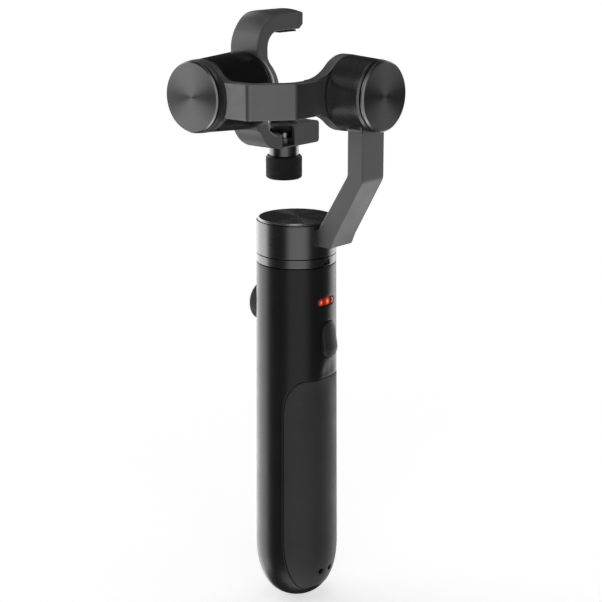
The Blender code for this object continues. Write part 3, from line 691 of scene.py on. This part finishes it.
def handle_grid():
    """Points over the unrolled handle, closer together round the key."""
    depths = [0.0, 0.1, 0.3, 1.2] + list(np.arange(3.2, down(ROUND_START), 2.2))
    tail = ROUND_START - HANDLE_BOTTOM
    for angle in np.arange(0, 89.0, 3.0):
        depths.append(float(down(blunt_end(math.radians(angle), tail)[1])))
    depths.append(TABLE_S[-1])
    azimuths = np.linspace(SEAM_START, SEAM_END, 145)
    coarse = [(a * DEGREE, s) for s in depths for a in azimuths]
    fine = [(a * DEGREE, float(down(z))) for z in np.arange(38.5, 86.0, 0.75)
            for a in np.arange(-52.0, 58.0, 1.6)]
    return np.array(coarse), np.array(fine)


def cleared(points, loops, gap):
    keep = np.ones(len(points), bool)
    for loop in loops:
        low, high = loop.min(0) - 2, loop.max(0) + 2
        near = np.all((points > low) & (points < high), axis=1)
        index = np.where(near & keep)[0]
        if len(index):
            keep[index] = distance_to(points[index], loop) > gap
    return points[keep]


def openings():
    """The outlines of the holes in the handle."""
    trigger = [(9.5 * math.cos(a), TRIGGER_HEIGHT + 9.5 * math.sin(a))
               for a in np.linspace(0, math.tau, 96, endpoint=False)]
    port = pill(9.8, 4.0, 0.0, PORT_HEIGHT, 12)
    holes = [
        facing_outline(resampled(pill(10.8, 3.8, 0.0, WINDOW_HEIGHT), 0.3)),
        facing_outline(resampled(pill(9.6, 17.4, 0.0, KEY_HEIGHT), 0.35), KEY_AZIMUTH),
        facing_outline(trigger, 180.0),
        facing_outline(port, 90.0),
    ]
    return holes + lanyard_holes(1.2)


def lanyard_holes(radius):
    turns = np.linspace(0, math.tau, 32, endpoint=False)
    here = float(radius_at(LANYARD_HEIGHT))
    return [unrolled(side * LANYARD_AZIMUTH + np.degrees(radius * np.cos(turns) / here),
                     LANYARD_HEIGHT + radius * np.sin(turns)) for side in (-1, 1)]


def handle_body():
    holes = openings()
    recess = grip_outline(0.22)
    coarse, fine = handle_grid()
    loops = [recess, grown(recess, 0.1), grown(recess, 0.3), grown(recess, -0.04)]
    for hole in holes:
        loops += [hole] + [grown(hole, step) for step in EASE_STEPS]
    azimuth = coarse[:, 0] / DEGREE
    border = (np.abs(azimuth - SEAM_START) < 1e-4) | (np.abs(azimuth - SEAM_END) < 1e-4)
    free = np.vstack([coarse[border], cleared(coarse[~border], loops, 0.4),
                      cleared(fine, loops, 0.3)])
    spots, triangles = sheet(free, loops, holes)

    def outer(points):
        radius, height = profile_at(points)
        drop = np.maximum(eased_drop(points[:, 1], EDGE_EASE), edge_drop(points, holes + [recess]))
        drop = np.where(inside(points, grown(recess, -0.02)), RECESS_DEPTH, drop)
        drop += scoop(points[:, 0] / DEGREE, height)
        return radius - drop * np.clip(radius / 6.0, 0, 1), height

    def inner(points):
        radius, height = profile_at(points)
        lifted = np.where(height < ROUND_START, ROUND_START + (height - ROUND_START) * 0.92, height)
        return np.maximum(radius - SHELL_DEPTH * np.clip(radius / 6.0, 0, 1), 0.05), lifted

    item = wrapped("handle_body", spots, triangles, outer, inner, True)
    return smooth(item, 38.0, False)


def grip_body():
    edge = grip_outline(0.0)
    holes = lanyard_holes(1.5)
    loops = [edge] + [grown(edge, -step) for step in EASE_STEPS]
    for hole in holes:
        loops += [hole] + [grown(hole, step) for step in EASE_STEPS]
    everything = np.vstack(handle_grid())
    everything = everything[inside(everything, grown(edge, -0.5))]
    spots, triangles = sheet(cleared(everything, loops, 0.4), loops, holes, edge)

    def outer(points):
        radius, height = profile_at(points)
        drop = edge_drop(points, [edge] + holes) + scoop(points[:, 0] / DEGREE, height)
        return radius + SKIN_RISE - drop, height

    def inner(points):
        radius, height = profile_at(points)
        return radius - SKIN_DEPTH - scoop(points[:, 0] / DEGREE, height), height

    item = wrapped("grip_skin", spots, triangles, outer, inner, False)
    return smooth(item, 38.0, False)


# ---- key, window, trigger
def crowned(name, width, height, middle, azimuth, foot, rise, rings, steps=24):
    """A pill-shaped piece on the handle. rise(height, inset) is its top above the handle."""
    verts = []
    for inset, top in [(0.0, None)] + [(inset, rise) for inset in rings]:
        outline = pill(width - 2 * inset, height - 2 * inset, 0.0, middle, steps)
        for across, level in outline:
            reach = foot if top is None else radius_at(level) + top(level, inset)
            angle = math.radians(azimuth) + across / HANDLE_RADIUS
            verts.append((reach * math.sin(angle), -reach * math.cos(angle), level))
    return from_lists(name, verts, stacked(len(rings) + 1, len(outline)))


def power_key():
    half = 9.0 / 2

    def rise(level, inset):
        share = (level - key_low.z) / (key_high.z - key_low.z)
        lean = np.interp(share, (0.0, 0.12, 0.28, 0.55, 0.85, 1.0),
                         (1.05, 1.75, 2.0, 1.35, 0.7, 0.35))
        crown = 0.55 * math.sqrt(max(0.0, 1 - (1 - min(inset / half, 1)) ** 2.4))
        edge = -0.35 * (1 - min(inset / 0.35, 1)) ** 2
        return lean + crown + edge

    rings = (0.0, 0.08, 0.2, 0.35, 0.6, 0.9, 1.3, 1.8, 2.4, 3.0, 3.6, 4.1, 4.45)
    key = crowned("power_key_cap", 9.0, 16.8, KEY_HEIGHT, KEY_AZIMUTH, 14.6, rise, rings, 20)
    flange = crowned("key_flange", 11.0, 18.8, KEY_HEIGHT, KEY_AZIMUTH, 14.2,
                     lambda level, inset: 14.8 - radius_at(level), (0.0, 0.2), 20)
    combine(key, [flange], "UNION")
    return smooth(key, 40.0)


def lamp_window():
    def rise(level, inset):
        return -0.05 - 0.25 * (1 - min(inset / 0.25, 1)) ** 2

    window = crowned("lamp_window", 10.2, 3.2, WINDOW_HEIGHT, 0.0, 16.6, rise,
                     (0.0, 0.1, 0.25, 0.8, 1.4), 16)
    return smooth(window, 40.0)


def trigger_cap():
    ball, centre = 12.6, 11.85
    profile = [(0, centre + ball)]
    for step in range(1, 29):
        angle = math.asin(8.9 / ball) * step / 28
        profile.append((ball * math.sin(angle), centre + ball * math.cos(angle)))
    profile += [(9.1, 20.3), (9.2, 19.9), (9.2, 11.2), (10.4, 11.2), (10.4, 10.0), (0, 10.0)]
    return smooth(lathe("trigger_cap", profile, (0, 0, TRIGGER_HEIGHT), Y_AXIS, 128))


# ---- motors and arms
def base_ring(ring_material, painted_shade_material):
    """The fixed ring on the handle's top, with a small pointer notch cut into its front; the
    notch's faces are painted near-black as shade.
    """
    profile = rounded([(HANDLE_RADIUS, BASE_TOP, 0.25), (HANDLE_RADIUS, BASE_BOTTOM, 0.25),
                       (15.5, BASE_BOTTOM), (15.5, 99.0), (MOTOR_BORE, 99.0),
                       (MOTOR_BORE, 103.8), (2.6, 103.8), (2.6, BASE_TOP)], 22)
    ring = lathe("base_ring", profile)
    outline = rounded([(-3.3, 104.75, 0.2), (1.9, 104.95, 0.3), (1.9, 107.3, 0.5),
                       (0.2, 107.25, 0.3)], 20)
    notch = prism("pointer_notch", outline, "XZ", -19.5, -16.6)
    # the notch's cut faces take the near-black painted shade material
    notch.data.materials.append(painted_shade_material)
    ring.data.materials.append(ring_material)
    combine(ring, [notch], "DIFFERENCE")
    return smooth(ring)


def roll_casting(turned, blasted):
    """Pan cap, bent arm and roll cup in one casting: turned ends and a blasted arm."""
    cap = rounded([(0, 122.7), (17.7, 122.7), (17.7, 123.3), (18.0, 123.2, 0.1),
                   (18.0, 108.5, 0.25), (16.4, 108.5), (0, 108.5)], 22)
    casting = lathe("roll_casting", cap)
    side = rounded([(-43.1, 174.0, 0.5), (-43.1, 145.8, 5), (-27.9, 119.2, 9),
                    (-26.0, 114.5, 1.5), (-10.0, 114.5, 0.5), (-10.0, 122.0, 0.5),
                    (-18.9, 122.0, 0.4), (-35.0, 147.9, 4), (-35.0, 174.0, 0.5)], 6)
    arm = slab("arm", side, "YZ", -ARM_HALF, ARM_HALF, 0.4)
    neck_outline = [(y, AXIS_HEIGHT + x) for x, y in paddle(15.35, ARM_HALF - 0.03, 5.5, 24.0)]
    neck = slab("neck", neck_outline, "XZ", -43.07, -35.03, 0.45)
    cup = rounded([(0, 46.4), (14.5, 46.4), (15.3, 45.7, 0.3), (15.35, 43.0), (16.2, 30.3, 0.25),
                   (MOTOR_BORE, 30.3), (0, 30.3)], 22)
    shell = lathe("cup", cup, ROLL_AXIS, -Y_AXIS)
    combine(casting, [arm, neck, shell], "UNION")
    pan_hollow = lathe("pan_hollow", [(0, 121.7), (16.4, 121.7), (16.4, 100.0), (0, 100.0)])
    roll_hollow = lathe("roll_hollow", [(0, 44.9), (MOTOR_BORE, 44.9), (MOTOR_BORE, 20.0),
                                        (0, 20.0)], ROLL_AXIS, -Y_AXIS)
    channel = block("cable_channel", (-4.5, -40.0, 150.0), (4.5, -30.0, 164.5))
    combine(casting, [pan_hollow, roll_hollow, channel], "DIFFERENCE")
    casting.data.materials.clear()
    casting.data.materials.append(turned)
    casting.data.materials.append(blasted)
    for face in casting.data.polygons:
        middle = face.center / MM
        on_arm = (abs(middle.x) < ARM_HALF + 0.2 and middle.y < -HANDLE_RADIUS - 0.1
                  and middle.z < AXIS_HEIGHT - 15.4)
        face.material_index = 1 if on_arm else 0
    return smooth(casting, 30.0)


def disc(name, face, back, radius, chamfer, origin, direction, neck):
    """A motor's end disc: flat face, bright chamfer, and a shadow gap behind its rim."""
    height = face - back
    profile = rounded([(0, face), (radius - chamfer, face, 0.06), (radius, face - chamfer, 0.06),
                       (radius, back + 0.45 * height, 0.1), (neck, back + 0.35 * height),
                       (neck, back), (0, back)], 25)
    return smooth(lathe(name, profile, origin, direction, 240), 20.0)


def tilt_band(painted_shade_material, arm_material):
    """The flat-sided band from the roll motor round to the tilt motor, with its two plates; the
    dish cut round the tilt disc has its faces painted near-black as shade.
    """
    half = 7.4
    band = rounded([(-52.6, 4, 1.0), (-52.6, -19.5, 3.2), (-36.5, -32.3, 4), (-24.5, -31.6, 20),
                    (-17.0, -30.0, 4), (-8.0, -30.0, 1.0), (-8.0, -24.9, 1.0), (-16.5, -24.9, 6),
                    (-24.5, -26.6, 14), (-34.2, -27.0, 8), (-46.8, -17.0, 5), (-46.8, 4, 1.0)], 4)
    arm = slab("tilt_band", band, "XY", AXIS_HEIGHT - half, AXIS_HEIGHT + half, 0.5)
    roll_end = [(x, y + AXIS_HEIGHT) for x, y in paddle(16.3, half - 0.02, 20.0, 24.5)]
    tilt_end = [(x + TILT_Y, y + AXIS_HEIGHT) for x, y in paddle(15.4, half - 0.02, 10.0, 26.0)]
    ends = [slab("roll_end", roll_end, "XZ", -29.98, -24.92, 0.5),
            slab("tilt_end", tilt_end, "YZ", -52.58, -46.82, 0.5)]
    combine(arm, ends, "UNION")
    arm.data.materials.clear()
    arm.data.materials.append(arm_material)
    # the dish's cut faces take the near-black painted shade material: a painted dark crescent where
    # shade falls
    dish = lathe("dish", [(15.15, 54.0), (20.2, 54.0), (18.9, 52.6), (15.9, 50.2), (15.15, 50.2)],
                 TILT_AXIS, -X_AXIS, 180)
    dish.data.materials.append(painted_shade_material)
    combine(arm, [dish], "DIFFERENCE")
    return smooth(arm, 30.0)


def tilt_cup():
    profile = rounded([(0, -22.3), (16.2, -22.3), (16.9, -22.9, 0.3), (16.9, -24.0, 2.0),
                       (15.4, -46.5, 0.25), (13.6, -46.5), (13.6, -24.1), (0, -24.1)], 22)
    return smooth(lathe("tilt_cup", profile, TILT_AXIS, X_AXIS))


def hook_crown(a, b, depth):
    """Bows the hook's top upwards between its two faces."""
    lift = 0.35 + 1.1 * max(0.0, 1 - ((depth - 12.5) / 8.5) ** 2)
    share = min(max((b - 207.5) / 6.0, 0.0), 1.0)
    return a, b + share * share * (3 - 2 * share) * lift


def bracket_body():
    """The C-shaped holder with its shoulder round the tilt motor, and the foot with its window."""
    outline = rounded([(8.2, 213.7, 0.8), (8.2, 208.6, 0.6), (5.8, 206.8, 0.8), (-15.0, 206.8, 7),
                       (-15.0, 161.4, 7), (2.4, 161.4, 0.3), (2.4, 165.0, 0.9), (19.6, 165.3, 1.6),
                       (19.6, 155.3, 1.6), (-21.6, 155.3, 15), (-21.6, 213.7, 14.5)], 4)
    bracket = slab("bracket_body", outline, "XZ", 3.0, 19.0, 0.45, hook_crown, 1.5)
    window = rounded([(-7.5, 0.0), (2.4, 0.0), (2.4, 9.0), (-2.5, 9.0, 4.5)], 8)
    cuts = [
        lathe("pad_bore", [(0, 190.0), (6.7, 190.0), (6.7, 158.8), (0, 158.8)], CLAMP_AXIS),
        lathe("sleeve_hole", [(0, 160.0), (4.6, 160.0), (4.6, 150.0), (0, 150.0)], CLAMP_AXIS),
        prism("spindle_window", window, "XY", 156.0, 189.2),
    ]
    combine(bracket, cuts, "DIFFERENCE")
    wings = []
    for name, turn in (("upper_wing", 1), ("lower_wing", -1)):
        shape = [(TILT_Y - y * turn, AXIS_HEIGHT - x * turn)
                 for x, y in paddle(14.8, 7.9, 7.0, 17.5)]
        wings.append(slab(name, shape, "YZ", -21.55, -15.05, 0.5))
    shoulder = rounded([(0, -17.0), (14.2, -17.0), (16.9, -20.6, 2.5), (16.9, -22.0, 0.2),
                        (0, -22.0)], 12)
    combine(bracket, wings + [lathe("shoulder", shoulder, TILT_AXIS, X_AXIS)], "UNION")
    pocket = lathe("board_pocket", [(0, -19.4), (9.0, -19.4), (9.0, -24.0), (0, -24.0)],
                   TILT_AXIS, X_AXIS)
    combine(bracket, [pocket], "DIFFERENCE")
    return smooth(bracket, 30.0)


def knurl(angle, radius, height):
    """Crossed grooves over the knob's side."""
    if radius < 8.0:
        return 0.0
    teeth = 60
    twist = (height - 145.0) * 0.075
    first = abs(((angle + twist) * teeth / math.tau) % 1.0 - 0.5) * 2
    second = abs(((angle - twist) * teeth / math.tau) % 1.0 - 0.5) * 2
    return -0.24 * max(first, second) ** 3


def knob_body():
    side = [(8.2, 149.7)] + [(8.2, level) for level in np.arange(149.45, 141.0, -0.22)] + [
        (8.2, 140.9)]
    profile = [(7.0, 150.5), (7.45, 150.5), (7.9, 150.1)] + side + [
        (7.85, 140.35), (7.3, 140.0), (3.3, 140.0), (3.3, 140.25), (3.3, 145.4), (7.0, 145.4)]
    return smooth(lathe("knob_body", profile, CLAMP_AXIS, Z_AXIS, 528, knurl), 50.0, False)


def spindle():
    profile = [(0, 161.0), (2.7, 161.0), (3.0, 160.7)]
    level = 158.6
    while level > 151.0:
        profile += [(3.0, level), (2.75, level - 0.25), (3.0, level - 0.5)]
        level -= 0.62
    profile += [(3.0, 140.9), (2.4, 140.3), (0, 140.3)]
    return smooth(lathe("spindle", profile, CLAMP_AXIS, Z_AXIS, 96), 40.0)


def clamp_foot_pad():
    """The round pad under the camera, with two turned grooves in its face."""
    top, groove = 164.2, 163.95
    profile = [(0, top)]
    for inner, outer in ((1.6, 2.6), (3.6, 4.6)):
        profile += [(inner, top, 0.1), (inner + 0.3, groove, 0.1), (outer - 0.3, groove, 0.1),
                    (outer, top, 0.1)]
    profile += [(6.3, top, 0.4), (6.3, 163.0, 0.3), (4.6, 161.3, 0.3), (0, 161.3)]
    return smooth(lathe("clamp_foot_pad", rounded(profile, 22), CLAMP_AXIS, Z_AXIS, 128))


def clamp_neck():
    profile = rounded([(4.3, 158.4), (4.3, 155.0), (6.7, 155.0, 0.25), (6.7, 149.8, 0.4),
                       (3.3, 149.8), (3.3, 158.4)], 22)
    return smooth(lathe("clamp_neck", profile, CLAMP_AXIS, Z_AXIS, 128))


def plate_cover():
    """The cover on the camera side of the roll plate."""
    profile = rounded([(0, -23.9), (14.0, -23.9, 0.2), (14.8, -24.3, 0.1), (14.8, -24.6),
                       (0, -24.6)], 25)
    return smooth(lathe("roll_plate_cover", profile, ROLL_AXIS, Y_AXIS))


def ribbed_pad(name, node, plane):
    """A camera pad: a rounded slab with shallow ribs across its working face."""
    low, high = node_box(node)
    pad = block(name, low, high)
    if plane == "YZ":
        ribs = [block("rib", (high.x - 0.25, low.y + 1.5, level - 0.35),
                      (high.x + 1.0, high.y - 1.5, level + 0.35))
                for level in np.arange(low.z + 2.2, high.z - 1.8, 2.2)]
    else:
        ribs = [block("rib", (low.x + 1.5, across - 0.35, low.z - 1.0),
                      (high.x - 1.5, across + 0.35, low.z + 0.25))
                for across in np.arange(low.y + 2.0, high.y - 1.6, 2.2)]
    combine(pad, ribs, "DIFFERENCE")
    return smooth(eased(pad, 0.12, 2), 40.0)


def cover_plate():
    low, high = node_box("arm_cover")
    outline = rounded([(low.x, low.z, 1.2), (high.x, low.z, 1.2), (high.x, high.z, 1.2),
                       (low.x, high.z, 1.2)], 15)
    cover = prism("channel_cover", outline, "XZ", low.y, high.y)
    holes = [lathe("hole", [(0, 4.0), (1.6, 4.0), (1.6, -4.0), (0, -4.0)], (0, -35.0, level),
                   Y_AXIS, 32) for level in (152.4, 162.1)]
    combine(cover, holes, "DIFFERENCE")
    return smooth(eased(cover, 0.2, 2))


def socket_screw(name, node):
    """A cap screw with a hexagon socket."""
    low, high = node_box(node)
    level = (low.z + high.z) / 2
    profile = rounded([(0, 0.7), (1.4, 0.7, 0.15), (1.4, 0.0, 0.1), (0.8, 0.0), (0.8, -3.0, 0.2),
                       (0, -3.0)], 22)
    origin = (0, -34.7, level)
    screw = lathe(name, profile, origin, Y_AXIS, 48)
    hexagon = lathe("socket", [(0, 1.5), (0.75, 1.5), (0.75, 0.15), (0, 0.15)], origin, Y_AXIS, 6)
    combine(screw, [hexagon], "DIFFERENCE")
    return smooth(screw)


def port_tongue():
    """The contact tongue in the charging port."""
    low, high = node_box("charging_port")
    tongue = block("port_tongue", (high.x - 3.2, -2.6, PORT_HEIGHT - 0.35),
                   (high.x - 0.4, 2.6, PORT_HEIGHT + 0.35))
    return smooth(eased(tongue, 0.1, 2))


# ---- carried-over CAD nodes
def circuit_board():
    green = (0.010, 0.075, 0.040)
    graph = finish("circuit_board", green, 0.38, wear=0.1)
    traces = graph.node("ShaderNodeTexBrick", {"Scale": 240.0, "Mortar Size": 0.06,
                                               "Vector": graph.place})
    graph.surface({"Base Color": graph.mixed(traces.outputs["Fac"], green, (0.03, 0.16, 0.07))})
    return graph.material


def windings():
    graph = finish("stator_stack", (0.28, 0.10, 0.035), 0.34, 0.8, wear=0.2)
    wave = graph.node("ShaderNodeTexWave", {"Scale": 900.0, "Distortion": 0.6,
                                            "Vector": graph.place}, bands_direction="DIAGONAL")
    graph.bump(wave.outputs["Fac"], 0.1 * MM, 0.8)
    return graph.material


def carried_over(materials):
    """Procedural finishes for the CAD nodes that stay as they are."""
    looks = {
        **materials,
        "board_green": circuit_board(),
        "lamination": windings(),
        "magnet": finish("plated_magnet", (0.42, 0.42, 0.43), 0.22, 1.0, wear=0.15).material,
        "cell_wrap": finish("cell_wrap", (0.02, 0.07, 0.19), 0.30, coat=0.3, wear=0.1).material,
        "liner_plastic": finish("moulded_liner", (0.035, 0.035, 0.036), 0.50, wear=0.1).material,
        "ribbon": finish("flexible_circuit", (0.30, 0.13, 0.03), 0.35, wear=0.1).material,
        "led_emitter": finish("lamp_resin", (0.85, 0.22, 0.08), 0.25, wear=0.0).material,
    }
    for entry in frame["record"]["subparts"]:
        item = frame["nodes"][entry["node"]]
        item.data.materials.clear()
        item.data.materials.append(looks[entry["material_slot"]])


# ---- build the pieces
def build_pieces():
    """Builds every piece, then gives it its material and its body, and hides the CAD node that it
    stands in for.
    """
    looks = make_materials()
    carried_over(looks)
    # gap is the near-black painted shade material for the pointer notch and the tilt dish
    arm, cup, gap = looks["arm_metal"], looks["cup"], looks["painted_shade_black"]
    top = disc("pan_face", 124.5, 122.8, 17.5, 0.75, (0, 0, 0), Z_AXIS, 16.6)
    # piece, look (None where it has its own), body, CAD node, slot
    pieces = [
        (handle_body(), "handle_black", "handle", "handle_shell", "handle_black"),
        (grip_body(), "grip_soft", "handle", "grip_panel", "grip_soft"),
        (lamp_window(), "led_lens", "handle", "led_window", "led_lens"),
        (base_ring(cup, gap), None, "handle", "stator_ring", "arm_metal"),
        (port_tongue(), "rubber", "handle", None, "rubber"),
        (power_key(), "button_plastic", "power_key", "power_button", "button_plastic"),
        (trigger_cap(), "button_plastic", "trigger", "trigger_button", "button_plastic"),
        (roll_casting(cup, arm), None, "pan", "roll_arm", "arm_metal"),
        (top, "disc_Z", "pan", "pan_top_disc", "disc_metal"),
        (disc("roll_face", 48.9, 46.7, DISC_RADIUS, 0.7, ROLL_AXIS, -Y_AXIS, DISC_NECK),
         "disc_Y", "pan", "roll_disc", "disc_metal"),
        (cover_plate(), "arm_metal", "pan", "arm_cover", "arm_metal"),
        *[(socket_screw("cover_screw_" + end, "arm_cover_screw_" + end),
           "steel", "pan", "arm_cover_screw_" + end, "steel") for end in ("lower", "upper")],
        (tilt_band(gap, arm), None, "roll", "tilt_arm", "arm_metal"),
        (disc("tilt_face", 54.3, 52.9, DISC_RADIUS, 0.6, TILT_AXIS, -X_AXIS, DISC_NECK),
         "disc_X", "roll", "tilt_disc", "disc_metal"),
        (plate_cover(), "arm_metal", "roll", "roll_inner_cover", "arm_metal"),
        (tilt_cup(), "rotor_gloss", "camera", "tilt_rotor", "rotor_gloss"),
        (bracket_body(), "bracket_metal", "camera", "camera_bracket", "bracket_metal"),
        (ribbed_pad("hook_grip_pad", "hook_pad", "XY"), "rubber", "camera", "hook_pad", "rubber"),
        (ribbed_pad("back_grip_pad", "back_pad", "YZ"), "rubber", "camera", "back_pad", "rubber"),
        (clamp_neck(), "cup", "camera", "clamp_sleeve", "bracket_metal"),
        (clamp_foot_pad(), "rubber", "clamp_pad", "clamp_pad", "rubber"),
        (spindle(), "steel", "clamp_screw", "clamp_spindle", "steel"),
        (knob_body(), "knob_black", "clamp_screw", "clamp_knob", "knob_black"),
    ]
    for item, look, body, node, slot in pieces:
        if look:
            item.data.materials.clear()
            item.data.materials.append(looks[look])
        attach(item, body)
        if node:
            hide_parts(node)


# ---- studio
CAMERA_PLACE = Vector((-0.4992, -0.4291, 0.2651))
CAMERA_BACK = Vector((-0.7334, -0.6264, 0.2639)).normalized()
CAMERA_RIGHT = Vector((0.6494, -0.7604, 0.0)).normalized()
CAMERA_LENS = 89.70


def studio_camera():
    data = bpy.data.cameras.new("studio_camera")
    data.lens = CAMERA_LENS
    data.sensor_width = 36.0
    data.clip_start = 0.01
    data.clip_end = 100.0
    camera = bpy.data.objects.new("studio_camera", data)
    up = CAMERA_BACK.cross(CAMERA_RIGHT)
    turn = Matrix((CAMERA_RIGHT, up, CAMERA_BACK)).transposed().to_4x4()
    camera.matrix_world = Matrix.Translation(CAMERA_PLACE) @ turn
    bpy.context.scene.collection.objects.link(camera)
    bpy.context.scene.camera = camera


# strength, azimuth from the camera's side (start, full, full, end), elevation (the same four),
# and 1 for panels placed towards the camera's right or -1 for its left
SOFTBOXES = (
    (2.90, (84, 99, 160, 173), (-46, -34, 26, 42), -1),
    (0.75, (-32, -18, 26, 42), (-50, -36, 40, 60), 1),
    (2.60, (108, 122, 150, 168), (-46, -34, 20, 36), 1),
    (1.80, (-70, -50, 50, 72), (-91, -90, -54, -40), 1),
    (1.60, (-181, -180, 180, 181), (64, 76, 90, 91), 1),
)
AMBIENT = 0.05


def studio_world():
    """Plain soft studio light as large soft panels in the sky, with a white backdrop behind."""
    world = bpy.data.worlds.new("studio")
    bpy.context.scene.world = world
    sky = Tree(world)
    sky.tree.nodes.clear()
    direction = sky.node("ShaderNodeTexCoord").outputs["Generated"]

    def along(axis):
        return sky.node("ShaderNodeVectorMath", {0: direction, 1: axis},
                        operation="DOT_PRODUCT").outputs["Value"]

    def window(value, limits):
        rise, fall = [sky.spread(value, 0.0, 1.0, start, end, interpolation_type="SMOOTHSTEP")
                      for start, end in (limits[:2], limits[2:])]
        return sky.math("MULTIPLY", rise, sky.math("SUBTRACT", 1.0, fall))

    front = Vector((CAMERA_BACK.x, CAMERA_BACK.y, 0)).normalized()
    azimuth = sky.math("DEGREES", sky.math("ARCTAN2", along(CAMERA_RIGHT), along(front)))
    elevation = sky.math("DEGREES", sky.math("ARCSINE", along(Z_AXIS)))
    total = AMBIENT
    for strength, across, upright, side in SOFTBOXES:
        panel = sky.math("MULTIPLY", window(sky.math("MULTIPLY", azimuth, side), across),
                         window(elevation, upright))
        total = sky.math("ADD", sky.math("MULTIPLY", panel, strength), total)
    light = sky.node("ShaderNodeBackground", {"Strength": total})
    backdrop = sky.node("ShaderNodeBackground", {"Strength": 1.0, "Color": (1.0, 1.0, 1.0, 1.0)})
    camera_ray = sky.node("ShaderNodeLightPath").outputs["Is Camera Ray"]
    choice = sky.node("ShaderNodeMixShader", {0: camera_ray, 1: light.outputs[0],
                                              2: backdrop.outputs[0]})
    sky.node("ShaderNodeOutputWorld", {0: choice.outputs[0]})


def studio_floor():
    """A plain pale floor just under the handle, too far from the glossy parts to show in them."""
    radius, count, gap = 6000.0, 96, 0.05
    level = HANDLE_BOTTOM - gap
    turns = [math.tau * step / count for step in range(count)]
    verts = [(radius * math.cos(turn), radius * math.sin(turn), level) for turn in turns]
    floor = from_lists("studio_floor", verts, [tuple(range(count))], outward=False)
    graph = Graph("floor_paper")
    tone = graph.mixed(graph.spread(graph.noise(3.0), 0.0, 1.0), (0.80, 0.80, 0.80),
                       (0.83, 0.83, 0.83))
    graph.surface({"Base Color": tone, "Roughness": 0.9, "Emission Strength": 0.62,
                   "Emission Color": (1.0, 1.0, 1.0, 1.0)})
    graph.material.cycles.emission_sampling = "NONE"
    floor.data.materials.append(graph.material)
    floor.visible_glossy = False
    floor.visible_shadow = False


build_pieces()
studio_camera()
studio_world()
studio_floor()
bpy.context.scene.view_settings.view_transform = "Standard"
